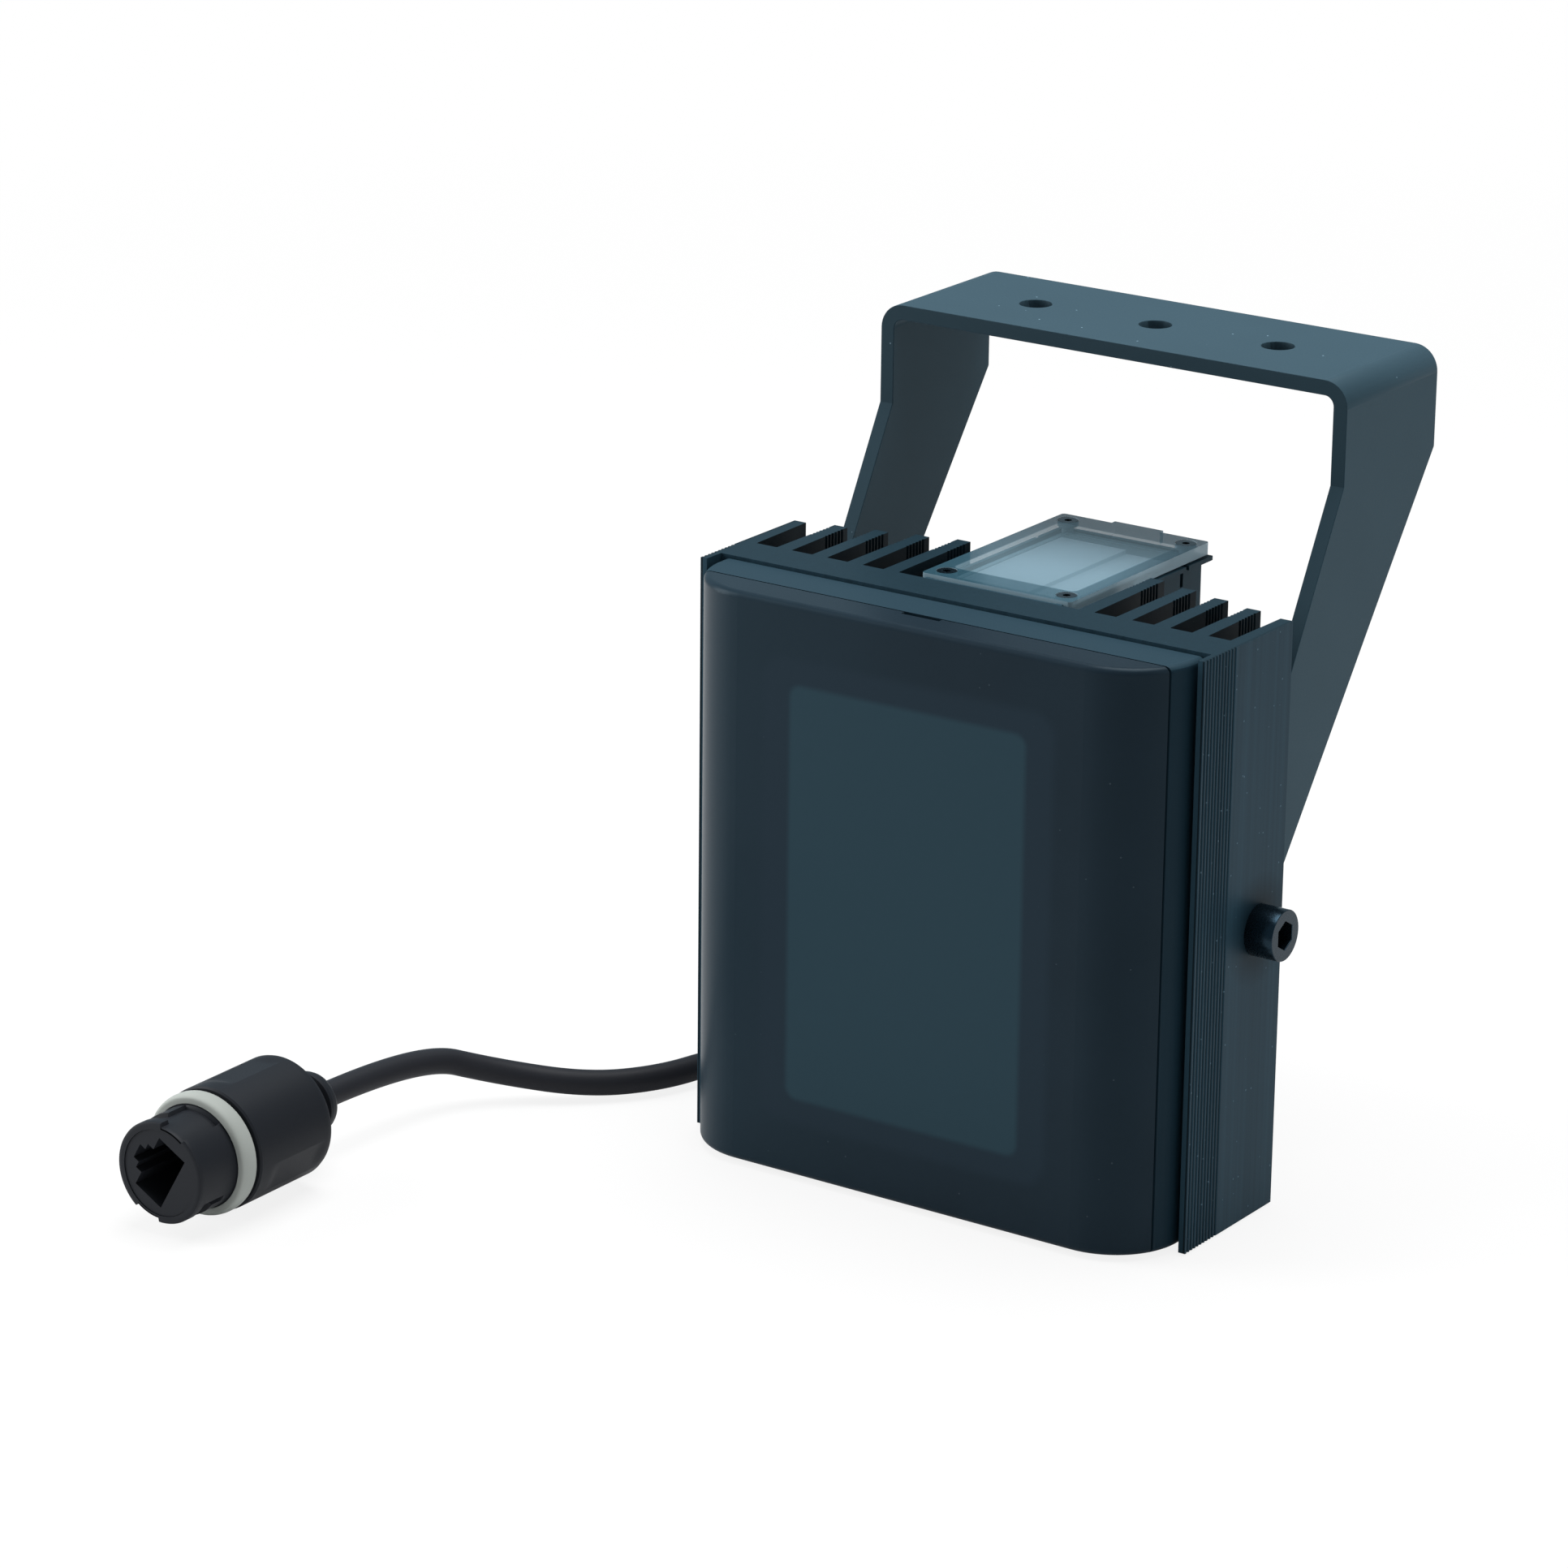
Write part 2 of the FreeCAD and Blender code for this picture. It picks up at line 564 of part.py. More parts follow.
# LED unit
def led_unit():
    front = "base_front - gasket_thick"
    pad_block = block("pad_blank", "2 * (board_hole - 2.5)", "gasket_thick",
                      "sink_height - 2 * board_inset - 4", "2.5 - board_hole", front,
                      "board_inset + 2")
    wires = cylinder("pad_lead_hole", "lead_hole", "4", "lead_place", "base_front - 2",
                     "lead_height", "+Y")
    sub_part("thermal_pad", cut("pad_holed", pad_block, [wires]))
    board = block("board_blank", "2 * board_half", "board_thick", "sink_height - 2 * board_inset",
                  "-board_half", f"{front} - board_thick", "board_inset")
    holes = [cylinder("board_hole_" + name, "1.6", "5", x, f"{front} - 3", z, "+Y")
             for name, x, z in board_screw_places()]
    slot = cylinder("board_lead_hole", "2.3", "5", "lead_place", f"{front} - 3", "lead_height", "+Y")
    sub_part("led_board", cut("board_holed", board, holes + [slot]))
    face = f"{front} - board_thick"
    sub_part("board_screws", group("board_screw_set", [
        screw("board_screw_" + name, "1.5", "board_thick + gasket_thick + 5", "2.75", "2", "2",
              x, face, z, "+Y") for name, x, z in board_screw_places()]))
    emitters = []
    lenses = []
    for column in range(LED_COLUMNS):
        for row in range(LED_ROWS):
            place = f"{column}_{row}"
            x = f"led_pitch * {column - (LED_COLUMNS - 1) / 2}"
            z = f"pivot_height + led_row_pitch * {row - (LED_ROWS - 1) / 2}"
            base = block("led_base_" + place, "led_size", "0.9", "led_size",
                         f"{x} - led_size / 2", f"{face} - 0.9", f"{z} - led_size / 2")
            dome = cone("led_dome_" + place, "led_size * 0.42", "led_size * 0.24", "0.8",
                        x, f"{face} - 0.9", z, "-Y")
            emitters.append(fuse("led_" + place, [base, dome]))
            lenses.append(cone("lens_" + place, "lens_radius", "led_size",
                               f"{face} - 2 - lens_front - lens_thick",
                               x, "lens_front + lens_thick", z, "+Y"))
    sub_part("led_emitters", group("led_set", emitters))
    plate = block("lens_blank", "2 * lens_half", "lens_thick", "lens_height",
                  "-lens_half", "lens_front", "(sink_height - lens_height) / 2")
    legs = []
    for side, sign in (("left", "-"), ("right", "")):
        for end, way in (("low", "-"), ("high", "+")):
            legs.append(cylinder(f"lens_leg_{side}_{end}", "1.4", f"{face} - lens_front",
                                 f"{sign}(lens_half - 1.6)", "lens_front",
                                 f"pivot_height {way} (lens_height / 2 - 1.6)", "+Y"))
    sub_part("lens_plate", fuse("lens_whole", [plate] + lenses + legs))
    outside = block("holder_blank", "2 * holder_half", f"{face} - lens_front + 0.3", "holder_height",
                    "-holder_half", "lens_front - 0.3", "(sink_height - holder_height) / 2")
    inside = block("holder_hollow", "2 * (holder_half - 1.6)", f"{face} - lens_front + 2",
                   "holder_height - 3.2", "1.6 - holder_half", "lens_front + lens_thick",
                   "(sink_height - holder_height) / 2 + 1.6")
    mouth = block("holder_mouth", "2 * lens_half + 0.4", "8", "lens_height + 0.4",
                  "-lens_half - 0.2", "lens_front - 2", "(sink_height - lens_height) / 2 - 0.2")
    sub_part("lens_holder", cut("holder_open", outside, [inside, mouth]))


# Leads from the driver to the LEDs
def led_leads():
    face = "base_front - gasket_thick - board_thick"
    plug = block("plug_blank", "6.4", "3", "5", "lead_place - 3.2", f"{face} - 3",
                 "lead_height - 2.5")
    bores = []
    leads = []
    for side, sign in (("left", "-"), ("right", "+")):
        x = f"lead_place {sign} 1.2"
        bores.append(cylinder("plug_bore_" + side, "0.8 + running_gap", "2.2", x,
                              f"{face} - 2", "lead_height", "+Y"))
        leads.append(cylinder("lead_" + side, "0.8", f"lid_front + 9.1 + 1.8 - ({face})", x,
                              f"{face} - 1.8", "lead_height", "+Y"))
    sub_part("led_connector", cut("plug_bored", plug, bores))
    sub_part("led_leads", group("lead_set", leads))
    sleeve = cylinder("grommet_sleeve", "lead_hole - running_gap", "base_rear - base_front + box_wall",
                      "lead_place", "base_front", "lead_height", "+Y")
    flange = cylinder("grommet_flange", "lead_hole + 1.4", "1", "lead_place",
                      "base_rear + box_wall", "lead_height", "+Y")
    bore = cylinder("grommet_bore", "2.2", "base_rear + 6", "lead_place", "base_front - 1",
                    "lead_height", "+Y")
    sub_part("lead_grommet", cut("grommet_bored", fuse("grommet_blank", [sleeve, flange]), [bore]))


# Driver box
def lid_screw_places():
    for side, sign in (("left", "-"), ("right", "")):
        yield side + "_front", sign + "lid_screw_place", "lid_screw_front"
        yield side + "_rear", sign + "lid_screw_place", "lid_screw_rear"


BOX_TOP = "sink_height - lid_thick - seam_gap"


def driver_box():
    shell = block("box_blank", "2 * box_half", "box_rear - base_rear", f"{BOX_TOP} - box_bottom",
                  "-box_half", "base_rear", "box_bottom")
    hood = block("box_hood", "2 * (box_half - 0.6)", "lid_front - 0.3 - base_rear", "4",
                 "0.6 - box_half", "base_rear", f"{BOX_TOP} - 1.8")
    flange = block("box_flange", "2 * (lid_half + 0.5)", "lid_rear + 0.5 - lid_front", "0.9",
                   "-lid_half - 0.5", "lid_front", f"{BOX_TOP} - 0.9")
    cavity = block("box_cavity", "2 * (box_half - box_wall)", "box_rear - base_rear - 2 * box_wall",
                   "sink_height", "box_wall - box_half", "base_rear + box_wall",
                   "box_bottom + box_floor")
    hollow = cut("box_hollow", fuse("box_outside", [shell, hood, flange]), [cavity])
    posts = []
    holes = []
    for name, x, y in lid_screw_places():
        length = f"{BOX_TOP} - box_bottom - box_floor - 34"
        side = "" if "right" in name else "-"
        start = "box_half - box_wall - 3.4" if side == "" else "box_wall - box_half - 0.4"
        depth = ("base_rear + box_wall - 0.4", "lid_screw_front - base_rear - box_wall + 3")
        if "rear" in name:
            depth = ("lid_screw_rear - 3", "box_rear - box_wall - lid_screw_rear + 3.4")
        posts.append(block("lid_post_" + name, "3.8", depth[1], length, start, depth[0],
                           f"{BOX_TOP} - ({length})"))
        holes.append(cylinder("lid_tap_" + name, "1.1 + running_gap", "9", x, y,
                              f"{BOX_TOP} - 8", "+Z"))
    for name, x, z in box_screw_places():
        posts.append(cylinder("box_boss_" + name, "3.2", "4.4", x, "base_rear + box_wall - 0.4",
                              z, "+Y"))
        holes.append(cylinder("box_tap_" + name, "1.5 + running_gap", "box_wall + 6",
                              x, "base_rear - 1", z, "+Y"))
    holes.append(cylinder("box_lead_hole", "lead_hole", "box_wall + 2", "lead_place",
                          "base_rear - 1", "lead_height", "+Y"))
    holes.append(cylinder("box_gland_hole", "gland_thread + 0.1", "box_floor + 2", "0",
                          "gland_depth", "box_bottom - 1", "+Z"))
    for number, depth in enumerate(("box_rear - 7.9", "lid_front + 5"), start=1):
        holes.append(block(f"snap_slot_{number}", "2 * box_half + 4", "1.1", "4.5",
                           "-box_half - 2", depth, "sink_height - 7.2"))
    sub_part("driver_box", cut("box_finished", fuse("box_posted", [hollow] + posts), holes))


def driver_lid():
    body = new_body("lid_body")
    outline = sketch(body, "lid_plan", "XY_Plane", lines([
        (-s.lid_half, s.lid_front), (s.lid_half, s.lid_front), (s.lid_half, s.lid_rear),
        (s.tab_half, s.lid_rear), (s.tab_half, s.lid_rear + s.tab_reach),
        (-s.tab_half, s.lid_rear + s.tab_reach), (-s.tab_half, s.lid_rear),
        (-s.lid_half, s.lid_rear)]), "sink_height - lid_thick")
    pad(body, "lid_pad", outline, "lid_thick")
    rim = sketch(body, "lid_field", "XY_Plane", lines([
        (3.9 - s.lid_half, s.lid_front + 4.6), (s.lid_half - 3.9, s.lid_front + 4.6),
        (s.lid_half - 3.9, s.lid_rear - 4.6), (3.9 - s.lid_half, s.lid_rear - 4.6)]),
        "sink_height - lid_thick * 0.75")
    pocket(body, "lid_field_cut", rim, "lid_thick / 2", reverse=False)
    half, front, rear = s.lid_half, s.lid_front, s.lid_rear
    round_edges(body, "lid_corners", "lid_corner",
                lambda point: abs(abs(point.x) - half) < 0.01
                and min(abs(point.y - front), abs(point.y - rear)) < 0.01)
    holes = []
    for name, x, y in lid_screw_places():
        holes.append(cylinder("lid_hole_" + name, "1.3", "lid_thick + 2", x, y,
                              "sink_height - lid_thick - 1", "+Z"))
        holes.append(cylinder("lid_sink_" + name, "2.1", "2", x, y, "sink_height - 1.1", "+Z"))
    sub_part("driver_lid", cut("lid_holed", body, holes))
    sub_part("lid_screws", group("lid_screw_set", [
        screw("lid_screw_" + name, "1.1", "7.5", "1.9", "1.05", "1.4", x, y,
              "sink_height - 1.1", "-Z") for name, x, y in lid_screw_places()]))
    outer = block("lid_seal_outer", "2 * (box_half - 0.3)", "box_rear - lid_front - 0.4", "seam_gap",
                  "0.3 - box_half", "lid_front + 0.1", BOX_TOP)
    inner = block("lid_seal_inner", "2 * (box_half - box_wall + 0.2)",
                  "box_rear - lid_front - 2 * box_wall + 0.6", "seam_gap + 2",
                  "box_wall - box_half - 0.2", "lid_front + box_wall - 0.4",
                  f"{BOX_TOP} - 1")
    pads = [cylinder("lid_seal_pad_" + name, "2", "seam_gap", x, y, BOX_TOP, "+Z")
            for name, x, y in lid_screw_places()]
    holes = [cylinder("lid_seal_hole_" + name, "1.15", "4", x, y, f"{BOX_TOP} - 2", "+Z")
             for name, x, y in lid_screw_places()]
    ring = fuse("lid_seal_padded", [cut("lid_seal_ring", outer, [inner])] + pads)
    sub_part("lid_seal", cut("lid_seal_holed", ring, holes))


def insulating_card():
    """A card folded into two fields, one a step lower, under the lid."""
    body = new_body("card_body")
    top = s.sink_height - s.lid_thick
    right = s.box_half - s.card_inset
    left, fold = -right, 2.4
    thick = 0.8
    profile = sketch(body, "card_profile", "XZ_Plane", lines([
        (left, top), (fold, top), (fold, top - thick), (right, top - thick),
        (right, top - 2 * thick), (fold - thick, top - 2 * thick), (fold - thick, top - thick),
        (left, top - thick)]), "-lid_front - 7.4")
    pad(body, "card_pad", profile, "lid_rear - lid_front - 14.8", reverse=True)
    sub_part("insulating_card", body)


def driver_electronics():
    floor = "box_bottom + box_floor"
    board_x = "box_wall - box_half + 0.8"
    face = f"{board_x} + board_thick"
    high = f"{BOX_TOP} - 4 - ({floor})"
    deep = "(lid_rear - lid_front)"
    sub_part("driver_board", block("driver_board_plate", "board_thick", f"{deep} - 14.4", high,
                                   board_x, "lid_front + 8", floor))
    core = block("transformer_core", "box_half - 0.9", f"{deep} * 0.38", "box_height * 0.26",
                 face, "lid_front + 10", "box_bottom + box_height * 0.46")
    coil = block("transformer_coil", "box_half - 3.9", f"{deep} * 0.46", "box_height * 0.17",
                 face, "lid_front + 8", "box_bottom + box_height * 0.505")
    sub_part("driver_transformer", fuse("transformer_whole", [core, coil]))
    sub_part("driver_capacitors", group("capacitor_set", [
        cylinder(f"capacitor_{number}", "box_height / 13", "box_half", face,
                 f"lid_front + {deep} * 0.75", f"box_bottom + box_height * {share}", "+X")
        for number, share in enumerate((0.49, 0.68), start=1)]))
    sub_part("output_terminal", block("output_block", "9", "8", "9", face, "lid_front + 9.1",
                                      "lead_height - 4.5"))
    sub_part("input_terminal", block("input_block", "box_half", "12", "8", face,
                                     "gland_depth - 6", "box_bottom + 16"))


def box_screws():
    sub_part("box_screws", group("box_screw_set", [
        countersunk("box_screw_" + name, "1.5", "base_rear - base_front + box_wall + 3", "2.8",
                    "1.3", x, "base_front + 0.1", z, "+Y") for name, x, z in box_screw_places()]))


# Cable gland
def cable_gland():
    thread = s.gland_thread
    bore = s.cable_thick / 2 + 0.2
    seat = bore + 1.9
    mouth = -s.gland_drop
    body = turned("gland_core", [(bore, mouth + 7.2), (bore, 9), (thread - 0.8, 9),
                                 (thread, 8.2), (thread, mouth + 6.7), (thread - 0.5, mouth + 6.2),
                                 (seat, mouth + 6.2), (seat, mouth + 7.2)])
    put(body, "0", "gland_depth", "box_bottom")
    collar = hexagon("gland_hexagon", "gland_flats", "4", "0", "gland_depth", "box_bottom - 5")
    opening = cylinder("gland_bore", "cable_thick / 2 + 0.2", "2 * gland_drop + 6", "0",
                       "gland_depth", "box_bottom - gland_drop - 2")
    sub_part("gland_body", cut("gland_bored", fuse("gland_blank", [body, collar]), [opening]))
    washer = cylinder("gland_washer_blank", "gland_flats / 2 + 0.8", "1", "0", "gland_depth",
                      "box_bottom - 1")
    hole = cylinder("gland_washer_hole", "gland_thread + 0.1", "3", "0", "gland_depth",
                    "box_bottom - 2")
    sub_part("gland_washer", cut("gland_washer_ring", washer, [hole]))
    nut = hexagon("locknut_blank", "gland_flats", "4", "0", "gland_depth",
                  "box_bottom + box_floor")
    hole = cylinder("locknut_hole", "gland_thread + running_gap", "6", "0", "gland_depth",
                    "box_bottom + box_floor - 1")
    sub_part("gland_locknut", cut("locknut_bored", nut, [hole]))
    grip = s.cable_thick / 2 + 0.05
    seal = turned("gland_seal_ring", [(grip, mouth + 1.7), (grip, mouth + 6.2),
                                      (thread - 0.4, mouth + 6.2), (thread - 0.4, mouth + 3.7),
                                      (thread - 1.6, mouth + 1.7)])
    sub_part("gland_seal", put(seal, "0", "gland_depth", "box_bottom"))
    skin = s.gland_flats / 2
    cap = turned("gland_dome", [(thread + 0.05, -5.4), (skin, -5.4), (skin, mouth + 4.7),
                                (skin - 0.9, mouth + 2.2), (skin - 3, mouth + 0.4),
                                (bore + 0.3, mouth), (bore + 0.3, mouth + 1.7),
                                (thread - 1.6, mouth + 1.7), (thread - 0.35, mouth + 3.7),
                                (thread - 0.35, mouth + 6), (thread + 0.05, mouth + 6.2)])
    put(cap, "0", "gland_depth", "box_bottom")
    sub_part("gland_cap", cap)
    sub_part("cable_tail", cylinder("cable_stub", "cable_thick / 2",
                                    f"box_bottom + 16 - {ROUTE[0][2]}", "0", "gland_depth",
                                    ROUTE[0][2]))


# Free lead
def bend_radius(before, corner, after):
    """The arc at a corner: 0.45 of the shorter run over the tangent of half the turn."""
    arrive = corner - before
    leave = after - corner
    half_turn = math.acos(max(-1, min(1, arrive.dot(leave) / arrive.Length / leave.Length))) / 2
    return 0.45 * min(arrive.Length, leave.Length) / math.tan(half_turn), half_turn


def pigtail_cable():
    points = [Vector(*point) for point in ROUTE]
    edges = []
    here = points[0]
    for before, corner, after in zip(points, points[1:], points[2:]):
        radius, half_turn = bend_radius(before, corner, after)
        setback = radius * math.tan(half_turn)
        arrive = (corner - before).normalize()
        leave = (after - corner).normalize()
        start = corner - arrive * setback
        end = corner + leave * setback
        inward = (leave - arrive).normalize()
        middle = corner + inward * (radius / math.cos(half_turn) - radius)
        edges += [Part.LineSegment(here, start).toShape(), Part.Arc(start, middle, end).toShape()]
        here = end
        print(f"lead: arc of {radius:.1f} mm at {corner.x:.0f}, {corner.y:.0f}, {corner.z:.0f}")
    edges.append(Part.LineSegment(here, points[-1]).toShape())
    path = Part.Wire(edges)
    section = Part.Wire(Part.Circle(points[0], points[1] - points[0], s.cable_thick / 2).toShape())
    obj = doc.addObject("Part::Feature", "lead_tube")
    obj.Shape = path.makePipeShell([section], True, False)
    expected = math.pi * s.cable_thick ** 2 / 4 * path.Length
    print(f"lead: {path.Length:.1f} mm long, volume {obj.Shape.Volume / expected:.4f} of its section")
    sub_part("pigtail_cable", obj)


# Waterproof socket on the lead
def connector_place():
    """The connector's own frame: its Z axis points out of the socket, its zero is at the boot."""
    end = Vector(*ROUTE[-1])
    out = Vector(0, -1, 0)
    up = Vector(0, 0, 1)
    level = Rotation(up.cross(out), up, out, "ZXY")
    return Placement(end + out * (s.boot_length - s.boot_grip),
                     level * Rotation(Vector(0, 0, 1), CONNECTOR_ROLL))


def way(name, start, turn, low, high):
    """A recess round the collar, from one angle over a turn in degrees, between two heights."""
    outside, inside = s.collar_radius + 2, s.collar_radius - s.way_depth
    tools = []
    for part, radius in (("_outside", outside), ("_inside", inside)):
        drum = doc.addObject("Part::Cylinder", name + part)
        drum.Radius, drum.Height, drum.Angle = radius, high - low, turn
        drum.Placement = Placement(Vector(0, 0, low), Rotation(Vector(0, 0, 1), start))
        tools.append(drum)
    tools[1].Angle = 360
    return cut(name, tools[0], [tools[1]])


def connector():
    place = connector_place()
    grip = s.cable_thick / 2 + 0.05
    outer, boot = s.shell_radius, s.boot_radius
    ring_start = s.body_length
    ring_end = ring_start + s.ring_length
    nose = ring_end + s.collar_length
    back = -s.boot_length
    profile = [(0, back + s.boot_grip), (grip, back + s.boot_grip), (grip, back),
               (boot - 1.9, back), (boot - 0.9, back + 0.4), (boot - 0.3, back + 1.3)]
    for share in (0.31, 0.6, 0.9):
        low = back * (1 - share)
        profile += [(boot, low - 0.2), (boot - 0.95, low), (boot - 0.95, low + 0.8),
                    (boot, low + 1.0)]
    relief = turned("boot_body", profile + [(boot, 3), (0, 3)])
    relief.Placement = place
    sub_part("strain_relief", relief)
    bore = s.collar_radius - s.collar_wall
    shell = turned("shell_body", [
        (boot + 0.05, 0), (outer - 1.0, 0), (outer - 0.3, 0.3), (outer, 1.0), (outer, ring_start),
        (outer - 1.9, ring_start), (outer - 1.9, ring_end), (s.collar_radius, ring_end),
        (s.collar_radius, nose - 0.3), (s.collar_radius - 0.3, nose), (bore, nose),
        (bore, s.insert_seat - 1), (boot + 0.05, s.insert_seat - 3)])
    tools = []
    for number in range(3):
        flat = doc.addObject("Part::Box", f"shell_flat_{number}")
        flat.Length, flat.Width, flat.Height = 3, 16, ring_start - 5
        turn = Rotation(Vector(0, 0, 1), number * 120 + 97)
        flat.Placement = Placement(turn.multVec(Vector(outer - s.flute_depth, -8, 2.5)), turn)
        tools.append(flat)
    # Two bayonet ways, half a turn apart: in from the front, round, and a notch at the end
    for number in range(2):
        start = number * 180 - 7
        tools += [way(f"way_entry_{number}", start, 34, nose - 5.5, nose + 1),
                  way(f"way_round_{number}", start + 30, 67, nose - 5.4, nose - 2.4),
                  way(f"way_seat_{number}", start, 49, ring_end + 0.3, nose - 5.3),
                  way(f"way_notch_{number}", start + 89, 8, nose - 8, nose - 5)]
    tools = fuse("shell_tools", tools)
    tools.Placement = place
    shell.Placement = place
    sub_part("connector_shell", cut("shell_finished", shell, [tools]))
    ring = turned("ring_body", [(outer - 1.85, ring_start + 0.05), (outer - 0.15, ring_start + 0.05),
                                (outer - 0.15, ring_end - 1.2), (outer - 0.5, ring_end - 0.4),
                                (outer - 1.1, ring_end), (outer - 1.85, ring_end)])
    ring.Placement = place
    sub_part("connector_ring", ring)
    connector_socket(place, nose, bore)


def connector_socket(place, nose, bore):
    """The jack insert: a black plug with the socket's opening, its latch ways and its contacts."""
    front = nose - 0.2
    insert = doc.addObject("Part::Cylinder", "jack_blank")
    insert.Radius = bore - s.running_gap
    insert.Height = front - s.insert_seat
    insert.Placement = Placement(Vector(0, 0, s.insert_seat), Rotation())
    floor = front - s.jack_depth
    steps = [(s.jack_width, -s.jack_height / 2, s.jack_height),
             (6.2, -s.jack_height / 2 - 1.5, 1.7), (3.4, -s.jack_height / 2 - 2.9, 1.7)]
    tools = []
    for number, (wide, low, high) in enumerate(steps, start=1):
        opening = doc.addObject("Part::Box", f"jack_opening_{number}")
        opening.Length, opening.Width, opening.Height = wide, high, s.jack_depth + 1
        opening.Placement = Placement(Vector(-wide / 2, low, floor), Rotation())
        tools.append(opening)
    insert = cut("jack_insert", insert, tools)
    insert.Placement = place
    sub_part("connector_socket", insert)
    contacts = []
    pitch = 1.02
    for number in range(CONTACT_COUNT):
        contact = doc.addObject("Part::Box", f"contact_{number}")
        contact.Length, contact.Width, contact.Height = 0.45, 0.5, 9
        x = (number - (CONTACT_COUNT - 1) / 2) * pitch - 0.225
        contact.Placement = place * Placement(Vector(x, s.jack_height / 2 - 0.5, floor), Rotation())
        contacts.append(contact)
    sub_part("jack_contacts", group("contact_set", contacts))


# Bracket and its pivots
def tangent_point(corner, centre, radius, side):
    """Where a line from the corner touches the circle, on the chosen side."""
    reach = corner - centre
    spread = math.acos(radius / reach.Length)
    angle = math.atan2(reach.y, reach.x) + side * spread
    return centre + Vector(math.cos(angle), math.sin(angle), 0) * radius


def u_bracket():
    folded = new_body("bracket_fold")
    half, top, thick = s.plate_half, s.plate_top, s.sheet_thick
    low = s.pivot_height - s.arm_end - 1
    profile = sketch(folded, "bracket_section", "XZ_Plane", lines([
        (-half, low), (-half, top), (half, top), (half, low), (half - thick, low),
        (half - thick, top - thick), (thick - half, top - thick), (thick - half, low)]),
        "-(pivot_depth - arm_end - 1)")
    pad(folded, "bracket_sheet", profile, "plate_rear - pivot_depth + arm_end + 2", reverse=True)
    round_edges(folded, "bracket_outer_bends", "bend_inside + sheet_thick",
                lambda point: abs(abs(point.x) - half) < 0.01 and abs(point.z - top) < 0.01)
    round_edges(folded, "bracket_inner_bends", "bend_inside",
                lambda point: abs(abs(point.x) - half + thick) < 0.01
                and abs(point.z - top + thick) < 0.01)
    side = new_body("bracket_side")
    pivot = Vector(s.pivot_depth, s.pivot_height, 0)
    front_knee = Vector(s.plate_front, s.knee_height, 0)
    rear_knee = Vector(s.plate_rear, s.knee_height + 0.5, 0)
    front_touch = tangent_point(front_knee, pivot, s.arm_end, 1)
    rear_touch = tangent_point(rear_knee, pivot, s.arm_end, -1)
    away = (front_knee + rear_knee) * 0.5 - pivot
    under = pivot - away.normalize() * s.arm_end
    corners = [front_touch, front_knee, Vector(s.plate_front, s.plate_top + 1, 0),
               Vector(s.plate_rear, s.plate_top + 1, 0), rear_knee, rear_touch]
    edges = [Part.LineSegment(a, b) for a, b in zip(corners, corners[1:])]
    edges.append(Part.Arc(rear_touch, under, front_touch))
    outline = sketch(side, "bracket_outline", "YZ_Plane", edges)
    pad(side, "bracket_profile", outline, "2 * plate_half + 2", midplane=True)
    shape = doc.addObject("Part::Common", "bracket_shape")
    shape.Base = folded
    shape.Tool = side
    holes = [cylinder(f"fixing_hole_{number}", "hole_radius", "sheet_thick + 2",
                      f"hole_spacing * {number - 1}", "hole_depth", "plate_top - sheet_thick - 1")
             for number in range(3)]
    holes.append(cylinder("nut_holes", "nut_radius", "2 * plate_half + 2", "-plate_half - 1",
                          "pivot_depth", "pivot_height", "+X"))
    sub_part("u_bracket", cut("bracket_drilled", shape, holes))


def pivots():
    nuts = []
    washers = []
    screws = []
    inner = "(plate_half - sheet_thick - nut_flange)"
    for side, sign, out, back in (("left", "-", "-X", "+X"), ("right", "", "+X", "-X")):
        place = ("pivot_depth", "pivot_height")
        sleeve = cylinder("nut_sleeve_" + side, "nut_radius - running_gap",
                          "sheet_thick + nut_flange", sign + inner, *place, out)
        flange = cylinder("nut_flange_" + side, "nut_radius + 1.1", "nut_flange",
                          sign + inner, *place, out)
        bore = cylinder("nut_bore_" + side, "pivot_radius + running_gap", "sheet_thick + 4",
                        f"{sign}({inner} - 1)", *place, out)
        nuts.append(cut("nut_" + side, fuse("nut_blank_" + side, [sleeve, flange]), [bore]))
        washer = cylinder("washer_blank_" + side, "arm_end - 1.4",
                          "sink_width / 2 - wall_root - plate_half - 0.1",
                          sign + "plate_half", *place, out)
        hole = cylinder("washer_hole_" + side, "pivot_radius + running_gap", "4",
                        f"{sign}(plate_half - 1)", *place, out)
        washers.append(cut("washer_" + side, washer, [hole]))
        screws.append(screw("pivot_" + side, "pivot_radius", f"sink_width / 2 - {inner}",
                            "5", "6", "5", f"{sign}sink_width / 2", *place, back))
    sub_part("pivot_nuts", group("nut_set", nuts))
    sub_part("pivot_washers", group("washer_set", washers))
    sub_part("pivot_screws", group("pivot_set", screws))


heatsink()
cover_seals()
cover_frame()
front_window()
cover_screws()
led_unit()
led_leads()
driver_box()
driver_lid()
insulating_card()
driver_electronics()
box_screws()
cable_gland()
pigtail_cable()
connector()
u_bracket()
pivots()
doc.recompute()

# Checks and files
for obj in doc.Objects:
    if "Invalid" in obj.State or "Error" in obj.State:
        raise RuntimeError(f"{obj.Name} could not be built: {obj.State}")
os.makedirs("parts", exist_ok=True)
for node, obj in sub_parts:
    shape = obj.Shape
    if shape.isNull() or not shape.isValid() or not shape.Solids:
        raise RuntimeError(node + " has no valid solid")
    shape.exportStep(f"parts/{node}.step")
    box = shape.BoundBox
    print(f"{node}: {len(shape.Solids)} solid(s), {shape.Volume:.1f} mm3, "
          f"{box.XLength:.1f} x {box.YLength:.1f} x {box.ZLength:.1f} mm")
